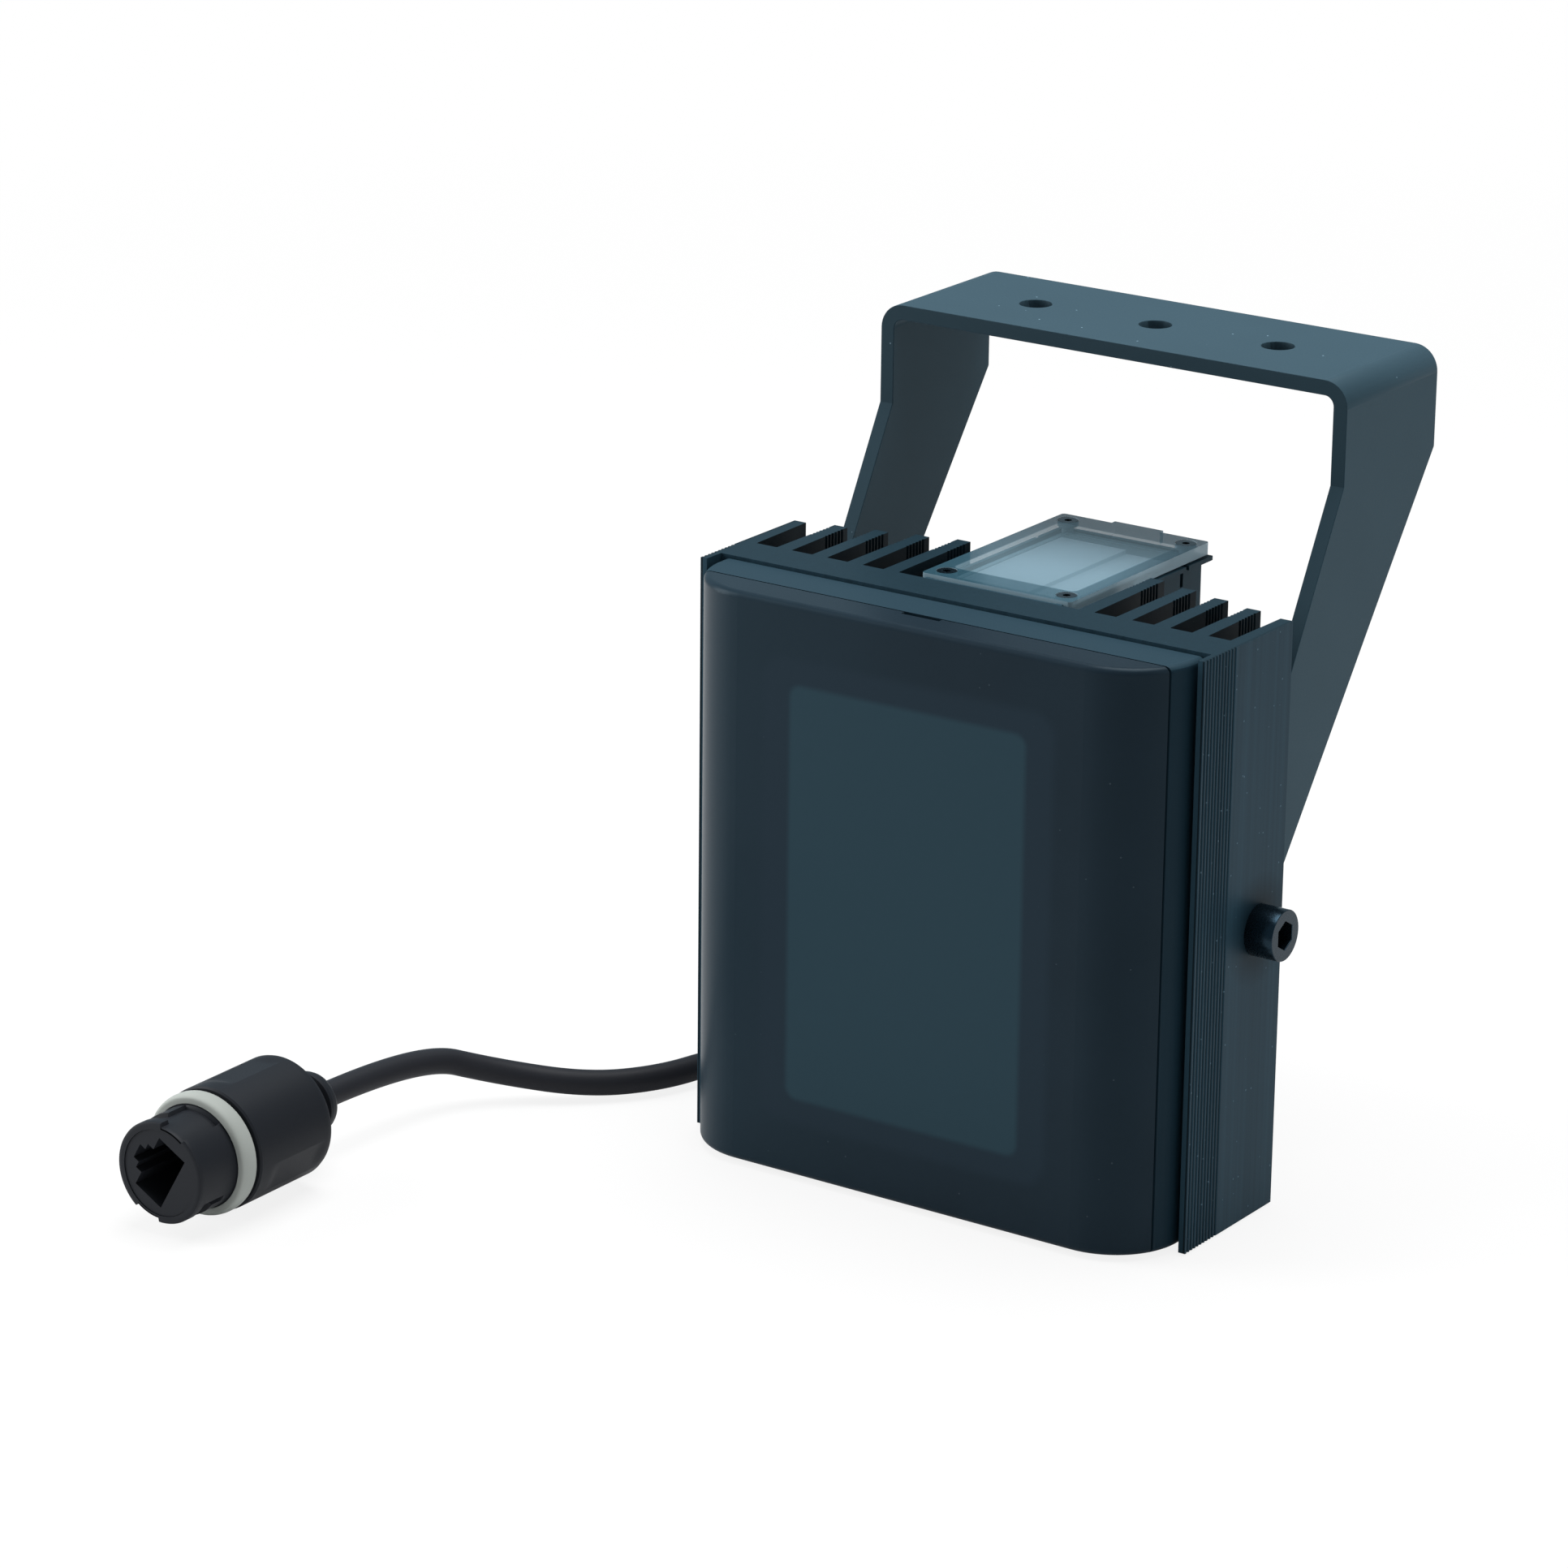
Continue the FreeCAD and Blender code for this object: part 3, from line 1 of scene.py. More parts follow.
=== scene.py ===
# %% [markdown]
# # An infrared illuminator in studio light
# The part is a small floodlight for security cameras. A ribbed aluminium heatsink carries LEDs
# behind a dark window, a slim driver box with a clear lid stands between its fins, and a folded
# bracket holds it by two screws. The solids arrive as a frame of named pieces, already at their
# real size, and this lesson gives them their finishes, adds the lead and its connector, and
# lights them for the camera.

# %% Frame of CAD pieces
import math

import bpy
import numpy as np
from mathutils import Euler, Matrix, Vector


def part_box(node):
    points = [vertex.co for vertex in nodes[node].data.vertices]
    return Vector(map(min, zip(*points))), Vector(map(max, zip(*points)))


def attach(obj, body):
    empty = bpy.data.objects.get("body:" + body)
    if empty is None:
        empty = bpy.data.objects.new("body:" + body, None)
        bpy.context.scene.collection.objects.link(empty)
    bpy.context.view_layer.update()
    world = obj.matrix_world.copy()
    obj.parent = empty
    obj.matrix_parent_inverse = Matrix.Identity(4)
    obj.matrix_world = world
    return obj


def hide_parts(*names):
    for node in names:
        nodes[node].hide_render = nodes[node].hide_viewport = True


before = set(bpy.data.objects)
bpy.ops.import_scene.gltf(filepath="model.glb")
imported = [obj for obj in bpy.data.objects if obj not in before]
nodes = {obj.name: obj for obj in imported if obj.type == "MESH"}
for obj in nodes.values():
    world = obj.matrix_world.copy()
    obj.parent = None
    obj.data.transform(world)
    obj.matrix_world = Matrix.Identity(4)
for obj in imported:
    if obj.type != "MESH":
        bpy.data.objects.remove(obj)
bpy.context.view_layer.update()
MM = 0.001

# %% [markdown]
# ## Places taken from the frame
# Most of what follows is placed from the pieces themselves, so that a change of size upstream
# moves the looks with it: the window and the lens field behind it, the heatsink's walls, the
# pivots, the card under the lid, and the socket's insert, which gives the connector's axis.

# %% Places
def corners(name):
    """The lowest and the highest corner of a piece in the frame, in metres."""
    return [np.array(corner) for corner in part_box(name)]


window_low, window_high = corners("front_window")
sink_low, sink_high = corners("heatsink")
lens_low, lens_high = corners("lens_plate")
holder_low, holder_high = corners("lens_holder")
card_low, card_high = corners("insulating_card")
insert_low, insert_high = corners("connector_socket")
shell_back = corners("connector_shell")[1][1]
screw_middle = sum(corners("pivot_screws")) / 2
print("window", np.round((window_high - window_low) / MM, 1), "mm, pivots at",
      np.round(screw_middle / MM, 2), "mm")

# %% [markdown]
# ## A few node helpers
# A material is a small graph: sockets give numbers and colours, and nodes change them. Most of
# the graphs here do the same few things, so each of those gets a helper: a sum or a comparison, a
# straight ramp from one number to another, a noise, and one colour laid over another.


# %% Node helpers
def srgb(code):
    """Linear colour for a web colour: each channel raised to 2.2."""
    return tuple((int(code[k:k + 2], 16) / 255) ** 2.2 for k in (0, 2, 4)) + (1.0,)


def shaded(colour, factor, lift=0.0):
    """The colour times a factor plus a lift, each channel at most one."""
    return tuple(min(1.0, c * factor + lift) for c in colour[:3]) + (1.0,)


def math_node(tree, operation, first, second=None):
    """One Math node, from sockets or numbers."""
    node = tree.nodes.new("ShaderNodeMath")
    node.operation = operation
    for socket, value in zip(node.inputs, (first, second)):
        if isinstance(value, (int, float)):
            socket.default_value = value
        elif value is not None:
            tree.links.new(value, socket)
    return node.outputs[0]


def vector_node(tree, operation, vector, other=None):
    """One Vector Math node, from a socket and a fixed vector."""
    node = tree.nodes.new("ShaderNodeVectorMath")
    node.operation = operation
    tree.links.new(vector, node.inputs[0])
    if other is not None:
        node.inputs[1].default_value = other
    return node.outputs["Value" if operation in ("LENGTH", "DISTANCE") else "Vector"]


def ramp(tree, value, start, end, first, last, smooth=False):
    """First where the value is start, last where it is end, and a line or an S between."""
    node = tree.nodes.new("ShaderNodeMapRange")
    if smooth:
        node.interpolation_type = "SMOOTHSTEP"
    for name, number in (("From Min", start), ("From Max", end),
                         ("To Min", first), ("To Max", last)):
        node.inputs[name].default_value = number
    tree.links.new(value, node.inputs["Value"])
    return node.outputs["Result"]


def noise(tree, vector, scale, detail):
    """A Noise node's grey, between nought and one, read at the given vector."""
    node = tree.nodes.new("ShaderNodeTexNoise")
    node.inputs["Scale"].default_value = scale
    node.inputs["Detail"].default_value = detail
    tree.links.new(vector, node.inputs["Vector"])
    return node.outputs["Fac"]


def layer(tree, under, colour, mask):
    """A colour laid over a socket's colour, or over a fixed one, where the mask is one."""
    mix = tree.nodes.new("ShaderNodeMix")
    mix.data_type = "RGBA"
    mix.inputs["B"].default_value = colour
    tree.links.new(mask, mix.inputs["Factor"])
    if isinstance(under, tuple):
        mix.inputs["A"].default_value = under
    else:
        tree.links.new(under, mix.inputs["A"])
    return mix.outputs["Result"]


def axes_of(tree, output):
    """The three numbers of Object coordinates, or of the Normal, as sockets."""
    split = tree.nodes.new("ShaderNodeSeparateXYZ")
    tree.links.new(tree.nodes["Texture Coordinate"].outputs[output], split.inputs[0])
    return split.outputs


print("node helpers are ready")

# %% [markdown]
# ## A helper for finishes
# Nearly every piece is dark, so the difference between them lies in gloss and grain. One helper
# makes a Principled surface whose colour wavers a little with a soft noise and whose face carries
# a fine grain. The noise is read in Object coordinates, which here are real metres, so a grain of
# half a millimetre stays half a millimetre on every piece.

# %% Finishes
CLOUD_SCALE = 60.0
STREAK_SCALE = (900.0, 900.0, 7.0)
SPECK_SCALE, SPECK_RADIUS, SPECK_RARITY = 500.0, 0.09, 0.9
GRAIN_DEPTH = 0.02 * MM


def finish(name, colour, roughness, metallic=0.0, grain_mm=0.5, bump=0.0, cloud=0.08,
           specular=0.1, spread=0.06, tint_shine=(1, 1, 1, 1), streaks=0.0, specks=0.0):
    """A surface with a clouded colour, a little unevenness in its gloss and a grain in relief.

    The clouds run from colour * (1 - cloud) to colour * (1 + cloud), and the gloss from
    roughness - spread to roughness + spread. Streaks are a noise squeezed sideways, so that it
    runs in lines up the piece; specks are the middles of scattered cells, kept where the cell's
    random value is high."""
    material = bpy.data.materials.new(name)
    material.use_nodes = True
    tree = material.node_tree
    shader = tree.nodes["Principled BSDF"]
    shader.inputs["Metallic"].default_value = metallic
    shader.inputs["Specular IOR Level"].default_value = specular
    shader.inputs["Specular Tint"].default_value = tint_shine
    place = tree.nodes.new("ShaderNodeTexCoord").outputs["Object"]
    under = layer(tree, shaded(colour, 1 - cloud), shaded(colour, 1 + cloud),
                  noise(tree, place, CLOUD_SCALE, 3.0))
    if streaks:
        squeezed = vector_node(tree, "MULTIPLY", place, STREAK_SCALE)
        under = layer(tree, under, shaded(colour, 1 - streaks), noise(tree, squeezed, 1.0, 2.0))
    if specks:
        cells = tree.nodes.new("ShaderNodeTexVoronoi")
        cells.inputs["Scale"].default_value = SPECK_SCALE
        tree.links.new(place, cells.inputs["Vector"])
        chance = tree.nodes.new("ShaderNodeSeparateXYZ")
        tree.links.new(cells.outputs["Color"], chance.inputs[0])
        near = math_node(tree, "LESS_THAN", cells.outputs["Distance"], SPECK_RADIUS)
        rare = math_node(tree, "GREATER_THAN", chance.outputs[0], SPECK_RARITY)
        spots = math_node(tree, "MULTIPLY", near, rare)
        under = layer(tree, under, shaded(colour, 4, 0.1),
                      math_node(tree, "MULTIPLY", spots, specks))
    tree.links.new(under, shader.inputs["Base Color"])
    grain = noise(tree, place, 1 / (grain_mm * MM), 2.0)
    tree.links.new(ramp(tree, grain, 0.0, 1.0, max(0.02, roughness - spread),
                        min(1.0, roughness + spread)), shader.inputs["Roughness"])
    if bump:
        relief = tree.nodes.new("ShaderNodeBump")
        relief.inputs["Strength"].default_value = bump
        relief.inputs["Distance"].default_value = GRAIN_DEPTH
        tree.links.new(grain, relief.inputs["Height"])
        tree.links.new(relief.outputs["Normal"], shader.inputs["Normal"])
    return material


def overlay(material, colour, mask, share=1.0):
    """Lays a colour over a finish's own: the mask times the share says how much of it."""
    tree = material.node_tree
    base = tree.nodes["Principled BSDF"].inputs["Base Color"]
    mask = math_node(tree, "MULTIPLY", mask, share)
    tree.links.new(layer(tree, base.links[0].from_socket, colour, mask), base)


def dress(material, *names):
    """Gives CAD pieces one material."""
    for name in names:
        nodes[name].data.materials.clear()
        nodes[name].data.materials.append(material)


print("grain is", round(GRAIN_DEPTH / MM, 3), "mm deep")

# %% [markdown]
# ## Dark metals
# The heatsink is anodised, the cover, the driver box and the bracket are powder coated. All are
# the same blue-black, so the shades differ only a little: the anodised metal shows the faint
# streaks of its extrusion and the bracket's coat a fine orange peel with pale specks.

# %% Metal finishes
TEAL = srgb("a9ccdc")
anodised = finish("anodised_heatsink", srgb("2d4451"), 0.5, grain_mm=0.25, bump=0.15,
                  tint_shine=TEAL, streaks=0.5, specks=0.3)
coated = finish("cover_coat", srgb("1b2a33"), 0.5, grain_mm=0.35, bump=0.2, tint_shine=TEAL)
bracket_coat = finish("bracket_coat", srgb("374a54"), 0.5, grain_mm=0.4, bump=0.3, cloud=0.05,
                      tint_shine=TEAL, specks=0.8)
box_coat = finish("driver_box_coat", srgb("2c424d"), 0.5, grain_mm=0.35, bump=0.2,
                  tint_shine=TEAL)
steel = finish("stainless_screws", srgb("8f9698"), 0.32, metallic=1.0, grain_mm=0.2)
black_steel = finish("blackened_screws", srgb("25323b"), 0.26, metallic=0.85, grain_mm=0.5,
                     bump=0.6, spread=0.12)
dress(anodised, "heatsink")
dress(coated, "cover_frame")
dress(bracket_coat, "u_bracket")
dress(box_coat, "driver_box")
dress(steel, "board_screws", "box_screws", "cover_screws", "pivot_nuts")
dress(black_steel, "pivot_screws", "lid_screws")
print(len(bpy.data.materials), "materials so far")

# %% [markdown]
# ## Painted shade and light on the metals
# One colour for the whole heatsink would look like a toy. The grooves in its side walls are a
# third of a millimetre deep, and shade is painted into them, so the colour darkens with the depth
# below the wall. The gaps between the fins are painted darker still, as shade, the faces turned
# up are a plain dark grey, and a painted shadow rings the bracket's screw. The cover's upper edge
# is painted paler than its front, as painted light, and the bracket's faces turned to the front
# are painted darker, as painted shade. Where each of these lies follows from the Object
# coordinates and from the way the face points, so no picture is needed.

# %% Painted shade and light on the metals
WALL, SKIN, LIP_THICK = sink_high[0], 0.5 * MM, 1.5 * MM
GROOVE_SHALLOW, GROOVE_DEEP = 0.05 * MM, 0.25 * MM
PLATE_BACK = sink_low[1] + 14.5 * MM
PIVOT, SHADOW_RING_START, SHADOW_RING_END = (WALL, screw_middle[1], screw_middle[2]), 5.5 * MM, 11.5 * MM
PAINTED_SHADE, FIN_GAP_SHADE, UPWARD_DARK = srgb("10181d"), srgb("0b1216"), srgb("1c2a31")
tree = anodised.node_tree
side, depth, _ = axes_of(tree, "Object")
away = math_node(tree, "ABSOLUTE", side)
# Painted shade: the grooves in the side walls darken with their depth below the wall.
groove_shade = ramp(tree, away, WALL - GROOVE_DEEP, WALL - GROOVE_SHALLOW, 0.95, 0.0)
outside = math_node(tree, "GREATER_THAN", away, WALL - SKIN)
overlay(anodised, PAINTED_SHADE, math_node(tree, "MULTIPLY", groove_shade, outside))
upward = axes_of(tree, "Normal")[2]
upright = math_node(tree, "LESS_THAN", math_node(tree, "ABSOLUTE", upward), 0.5)
behind = math_node(tree, "GREATER_THAN", depth, PLATE_BACK)
inside = math_node(tree, "LESS_THAN", away, WALL - LIP_THICK)
# Painted shade: the upright faces between the fins, behind the base plate, are painted nearly
# black.
gap_shade = math_node(tree, "MULTIPLY", math_node(tree, "MULTIPLY", upright, behind), inside)
overlay(anodised, FIN_GAP_SHADE, gap_shade, 0.88)
# The heatsink's faces turned up are painted a darker grey.
overlay(anodised, UPWARD_DARK, math_node(tree, "GREATER_THAN", upward, 0.5), 0.75)
# Painted shadow: the wall darkens in a ring round the pivot screw.
reach = vector_node(tree, "DISTANCE", tree.nodes["Texture Coordinate"].outputs["Object"], PIVOT)
overlay(anodised, PAINTED_SHADE, ramp(tree, reach, SHADOW_RING_START, SHADOW_RING_END, 0.6, 0.0))

# Painted light: the cover's faces turned up are painted paler.
tree = coated.node_tree
overlay(coated, srgb("2a3c46"),
        math_node(tree, "GREATER_THAN", axes_of(tree, "Normal")[2], 0.5), 0.9)
# Painted shade: the bracket's faces turned to the front are painted darker.
tree = bracket_coat.node_tree
overlay(bracket_coat, srgb("121c22"),
        math_node(tree, "LESS_THAN", axes_of(tree, "Normal")[1], -0.6), 0.5)
print("walls at", round(WALL / MM, 1), "mm, base plate's back at", round(PLATE_BACK / MM, 1),
      "mm")

# %% [markdown]
# ## Plastics, rubber and small parts
# Inner pieces are given their usual colours, because the part can be taken apart: a white LED
# board, a green driver board, a yellow taped transformer and green terminals. They need no relief
# of their own, so a table says all there is to say about them.

# %% Plastic and rubber finishes
black_rubber = finish("black_rubber", srgb("101214"), 0.7, grain_mm=0.3, bump=0.2)
black_plastic = finish("black_plastic", srgb("15181a"), 0.45, grain_mm=0.3, bump=0.15)
sheath = finish("lead_sheath", srgb("2b2c30"), 0.5, grain_mm=0.3, bump=0.2, cloud=0.06)
moulding = finish("connector_moulding", srgb("25272b"), 0.48, grain_mm=0.25, bump=0.3,
                  cloud=0.05)
silicone = finish("pale_silicone", srgb("9a9f9b"), 0.5, grain_mm=0.4, bump=0.1, cloud=0.1)
gold = finish("gold_contacts", srgb("d9b25c"), 0.25, metallic=1.0)
dress(black_rubber, "cover_gasket", "window_seal", "lid_seal", "gland_seal", "lead_grommet",
      "gland_washer")
dress(black_plastic, "gland_body", "gland_locknut", "gland_cap", "lens_holder", "pivot_washers")
dress(sheath, "cable_tail", "pigtail_cable")
dress(moulding, "strain_relief", "connector_shell", "connector_socket")
dress(silicone, "connector_ring")
dress(gold, "jack_contacts")
INNER_PARTS = (
    ("white_board", "d9dad6", 0.4, ("led_board",)),
    ("green_board", "1f5a38", 0.4, ("driver_board",)),
    ("led_emitter", "c9c3a6", 0.3, ("led_emitters",)),
    ("grey_thermal_pad", "8a8c90", 0.8, ("thermal_pad",)),
    ("transformer_tape", "c29b2e", 0.4, ("driver_transformer",)),
    ("capacitor_sleeve", "262b36", 0.3, ("driver_capacitors",)),
    ("green_terminal", "2f8a52", 0.4, ("input_terminal", "output_terminal")),
    ("red_wire", "a3231d", 0.4, ("led_leads",)),
    ("white_plug", "dedbd0", 0.45, ("led_connector",)),
)
for name, code, roughness, pieces in INNER_PARTS:
    dress(finish(name, srgb(code), roughness), *pieces)
print(len(bpy.data.materials), "materials so far")

# %% [markdown]
# ## The dark window
# The window passes infrared and looks almost black. In good light the lens field behind it shows
# through as a slightly paler rectangle with a faint frame round it. It is only a difference of
# tone, so the colour is worked out from the Object coordinates: the distance from the middle of
# the field, sideways and up, makes a soft-edged rectangle.


# %% Window finish
def field_mask(tree, low, high, soft, corner, axes=(0, 2)):
    """A soft rectangle in x and z, or another two axes, one inside and nought outside.

    The distance outside a rounded rectangle is the length of (max(|x - cx| - half + r, 0),
    max(|z - cz| - half + r, 0)) less r, and a smooth ramp turns it into a soft edge."""
    place = axes_of(tree, "Object")
    squares = []
    for axis in axes:
        middle, half = (low[axis] + high[axis]) / 2, (high[axis] - low[axis]) / 2
        away = math_node(tree, "ABSOLUTE", math_node(tree, "SUBTRACT", place[axis], middle))
        away = math_node(tree, "SUBTRACT", away, half - corner)
        away = math_node(tree, "MAXIMUM", away, 0.0)
        squares.append(math_node(tree, "MULTIPLY", away, away))
    reach = math_node(tree, "SQRT", math_node(tree, "ADD", *squares))
    return ramp(tree, reach, corner - soft, corner + soft, 1.0, 0.0, smooth=True)


FIELD_SHARE = 0.85
window = finish("infrared_window", srgb("202a32"), 0.36, grain_mm=0.3, bump=0.1, cloud=0.12,
                specular=0.11, spread=0.05, tint_shine=TEAL, specks=0.15)
tree = window.node_tree
# Painted light: the window is painted paler towards its left edge, adding to the band that the
# left lamp draws on its rounded corner.
left_light_paint = ramp(tree, axes_of(tree, "Object")[0], window_low[0], 5 * MM, 0.5, 0.0)
holder_field = field_mask(tree, holder_low, holder_high, 1.4 * MM, 5 * MM)
lens_field = field_mask(tree, lens_low, lens_high, 0.8 * MM, 2.5 * MM)
overlay(window, srgb("27363f"), left_light_paint, FIELD_SHARE)
overlay(window, srgb("242f38"), holder_field, FIELD_SHARE)
overlay(window, srgb("2b3e47"), lens_field, FIELD_SHARE)
dress(window, "front_window")
print("lens field", np.round((lens_high - lens_low) / MM, 1), "mm")

# %% [markdown]
# ## Clear pieces
# The lid of the driver box and the lens plate are clear. The lid shows a folded card under it:
# over the card its pane is see-through and a little milky, like polycarbonate that has been
# handled, its border looks darker over the box's flange, and its cut sides are painted pale, as a
# painted highlight. Alpha is used for it and not transmission, because the lamps then reach the
# card straight through the lid. The card grows paler towards the back, to make up for the
# bracket, which keeps some of the light off it.

# %% Clear finishes
BORDER_ALPHA, PANE_ALPHA = 0.78, 0.32
PANE_MARGIN = np.array([1, 1, 0]) * 1.2 * MM
clear_lid = finish("clear_lid", srgb("34525f"), 0.18, cloud=0.06, spread=0.06, specular=0.3,
                   tint_shine=TEAL)
tree = clear_lid.node_tree
pane = field_mask(tree, card_low - PANE_MARGIN, card_high + PANE_MARGIN, 0.35 * MM, 1.5 * MM,
                  axes=(0, 1))
upward = math_node(tree, "ABSOLUTE", axes_of(tree, "Normal")[2])
overlay(clear_lid, srgb("88a9b8"), pane)
# Painted highlight: the lid's upright cut sides are painted pale.
overlay(clear_lid, srgb("9dbccb"), math_node(tree, "LESS_THAN", upward, 0.5))
tree.links.new(ramp(tree, pane, 0.0, 1.0, BORDER_ALPHA, PANE_ALPHA),
               tree.nodes["Principled BSDF"].inputs["Alpha"])
clear_lens = finish("clear_lens", srgb("e6eef0"), 0.05, cloud=0.01, spread=0.02)
clear_lens.node_tree.nodes["Principled BSDF"].inputs["Transmission Weight"].default_value = 0.9
card = finish("insulating_card", srgb("6b7e8a"), 0.6, grain_mm=0.5, cloud=0.05)
tree = card.node_tree
overlay(card, srgb("aec3ce"),
        ramp(tree, axes_of(tree, "Object")[1], card_low[1], card_high[1], 0.0, 0.8))
dress(clear_lid, "driver_lid")
dress(clear_lens, "lens_plate")
dress(card, "insulating_card")
print("card", np.round((card_high - card_low) / MM, 1), "mm")

# %% [markdown]
# ## Edges that catch the light
# Extruded, cut and folded metal has no perfectly sharp edge. A small bevel on the edges that turn
# by more than thirty degrees gives each of them a thin highlight. The frame's own meshes are left
# as they are: the bevel is a modifier, after a weld and a clean-up of flat triangles.


# %% Edge modifiers
def soften(name, width_mm, segments=2):
    """Rounds a piece's sharp edges: a weld, then flat faces joined, then a bevel."""
    piece = nodes[name]
    weld = piece.modifiers.new("weld", "WELD")
    weld.merge_threshold = 0.002 * MM
    flat = piece.modifiers.new("flat", "DECIMATE")
    flat.decimate_type = "DISSOLVE"
    flat.angle_limit = math.radians(0.5)
    edge = piece.modifiers.new("edge", "BEVEL")
    edge.width = width_mm * MM
    edge.segments = segments
    edge.limit_method = "ANGLE"
    edge.angle_limit = math.radians(30)
    edge.harden_normals = True


EDGE_WIDTHS = {"heatsink": 0.12, "u_bracket": 0.3, "cover_frame": 0.15, "driver_box": 0.2,
               "pivot_screws": 0.5}
for name, width in EDGE_WIDTHS.items():
    soften(name, width)
print("edges of", len(EDGE_WIDTHS), "pieces softened")

# %% [markdown]
# ## Turned mouldings with dents
# The connector is a set of round mouldings, so a point on one is given by a distance along the
# axis, an angle and a radius. Plain turned shapes would look too clean: the real body has shallow
# flats for the fingers, its collar has two bayonet ways, and the boot has slots that let it bend.
# Each of these is a dent, so the radius is a profile less a depth that depends on where we are.


# %% Turned surface
CONNECTOR_X = (insert_low[0] + insert_high[0]) / 2
CONNECTOR_Z = (insert_low[2] + insert_high[2]) / 2
CONNECTOR_Y = shell_back


def rise(value, start, end):
    """Smooth step: nought below start, one above end, 3t^2 - 2t^3 between."""
    t = np.clip((value - start) / (end - start), 0, 1)
    return t * t * (3 - 2 * t)


def band(value, low, high, soft):
    """One between low and high, nought outside, with soft edges of the given width."""
    return rise(value, low - soft / 2, low + soft / 2) * (1 - rise(value, high - soft / 2,
                                                                   high + soft / 2))


def past(angle, start):
    """Degrees from a start, counted from -90 to 270 so that a turn from it has no seam."""
    return (angle - start + 90) % 360 - 90


def along(corners, step):
    """Points along a closed profile at most a step apart, corner points kept.

    Each side is cut into n equal parts: point k is corner * (1 - k/n) + next corner * k/n."""
    corners = np.array(corners, float)
    after = np.roll(corners, -1, axis=0)
    counts = np.maximum(1, np.ceil(np.linalg.norm(after - corners, axis=1) / step)).astype(int)
    share = np.concatenate([np.arange(n) / n for n in counts])[:, None]
    return np.repeat(corners, counts, axis=0) * (1 - share) + np.repeat(after, counts, 0) * share


def turned_piece(name, corners, dent, material, step, turns, edges=()):
    """A ring-shaped skin about the connector's axis.

    Point (i, j) has height h_i and angle a_j; its radius is r_i - dent(h_i, a_j), its x is
    radius * cos a, its z radius * sin a, and its y runs forward with the height. The profile
    (r_i, h_i) is closed, so the skin is closed both ways. Edges are angles where a dent starts
    or stops: each gets a point just before and just after it."""
    profile = along(corners, step)
    angle = np.arange(turns) * 360 / turns
    edges = np.array(edges, float)
    angle = np.unique(np.round(np.concatenate([angle, edges - 0.5, edges + 0.5]) % 360, 2))
    radius, a = np.meshgrid(profile[:, 0], angle, indexing="ij")
    height = np.meshgrid(profile[:, 1], angle, indexing="ij")[0]
    radius = radius - dent(radius, height, a)
    points = np.stack([CONNECTOR_X + MM * radius * np.cos(np.radians(a)),
                       CONNECTOR_Y - MM * height,
                       CONNECTOR_Z + MM * radius * np.sin(np.radians(a))], axis=-1)
    rows, columns = radius.shape
    i, j = np.meshgrid(np.arange(rows), np.arange(columns), indexing="ij")
    i2, j2 = (i + 1) % rows, (j + 1) % columns
    quads = np.stack([i * columns + j, i * columns + j2, i2 * columns + j2, i2 * columns + j],
                     axis=-1).reshape(-1, 4)
    mesh = bpy.data.meshes.new(name)
    mesh.vertices.add(rows * columns)
    mesh.vertices.foreach_set("co", points.ravel())
    mesh.loops.add(quads.size)
    mesh.loops.foreach_set("vertex_index", quads.ravel().astype(np.int32))
    mesh.polygons.add(len(quads))
    mesh.polygons.foreach_set("loop_start", np.arange(len(quads), dtype=np.int32) * 4)
    mesh.update(calc_edges=True)
    mesh.validate()
    mesh.shade_smooth()
    mesh.set_sharp_from_angle(angle=math.radians(32))
    mesh.materials.append(material)
    piece = bpy.data.objects.new(name, mesh)
    bpy.context.scene.collection.objects.link(piece)
    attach(piece, "unit")
    print(name, len(quads), "faces")
    return piece


print("connector's axis at x", round(CONNECTOR_X / MM, 2), "and z", round(CONNECTOR_Z / MM, 2))

# %% [markdown]
# ## Connector shell
# The body is a plain drum with a flat back. It stops at the pale ring and goes on as a narrower
# collar. A finger flat is the plane at a fixed distance from the axis, so its depth is
# R - (R - d) / cos a. A bayonet way comes in from the front edge, runs round the collar and ends
# in a small notch; a cap's lug is pushed in there and turned.

# %% Shell
SHELL_R, COLLAR_R, BOOT_R = 12.25, 10.1, 6.3
RING_START, RING_END, NOSE = 21.5, 26.1, 36.6
RING_BED_R = SHELL_R - 1.9
FLATS, FLAT_DEPTH, FLAT_EDGE = (97, 217, 337), 0.45, 15.6
FLAT_START, FLAT_END, FLAT_SOFT = 3.0, 17.0, 2.4
WAYS, WAY_DEPTH = (233, 53), 0.8
WAY_PATHS = ((0, 34, 31.2, 60), (0, 97, 31.2, 34.2), (0, 49, 26.3, 34.2), (89, 97, 28.6, 34.2))
WAY_TURNS, WAY_HEIGHTS = (0, 34, 49, 89, 97), (28.6, 31.2, 34.2)


def shell_dent(radius, height, angle):
    """Depth of the finger flats, on the body, and of the bayonet ways, on the collar, in mm.

    A flat is R - (R - depth) / cos a where that is above nought. A way is made of rectangles in
    angle and height, and the deepest of them counts."""
    flat = np.zeros_like(radius)
    for middle in FLATS:
        across = np.radians(np.minimum(30, np.abs(past(angle, middle))))
        chord = np.maximum(0, SHELL_R - (SHELL_R - FLAT_DEPTH) / np.cos(across))
        flat += chord * band(height, FLAT_START, FLAT_END, FLAT_SOFT)
    way = np.zeros_like(radius)
    for start in WAYS:
        turn = past(angle, start)
        for first, last, low, high in WAY_PATHS:
            way = np.maximum(way, band(turn, first, last, 0.8) * band(height, low, high, 0.2))
    body, collar = (height < RING_START) & (radius > 11), (height > RING_END) & (radius > 9.6)
    return flat * body + WAY_DEPTH * way * collar


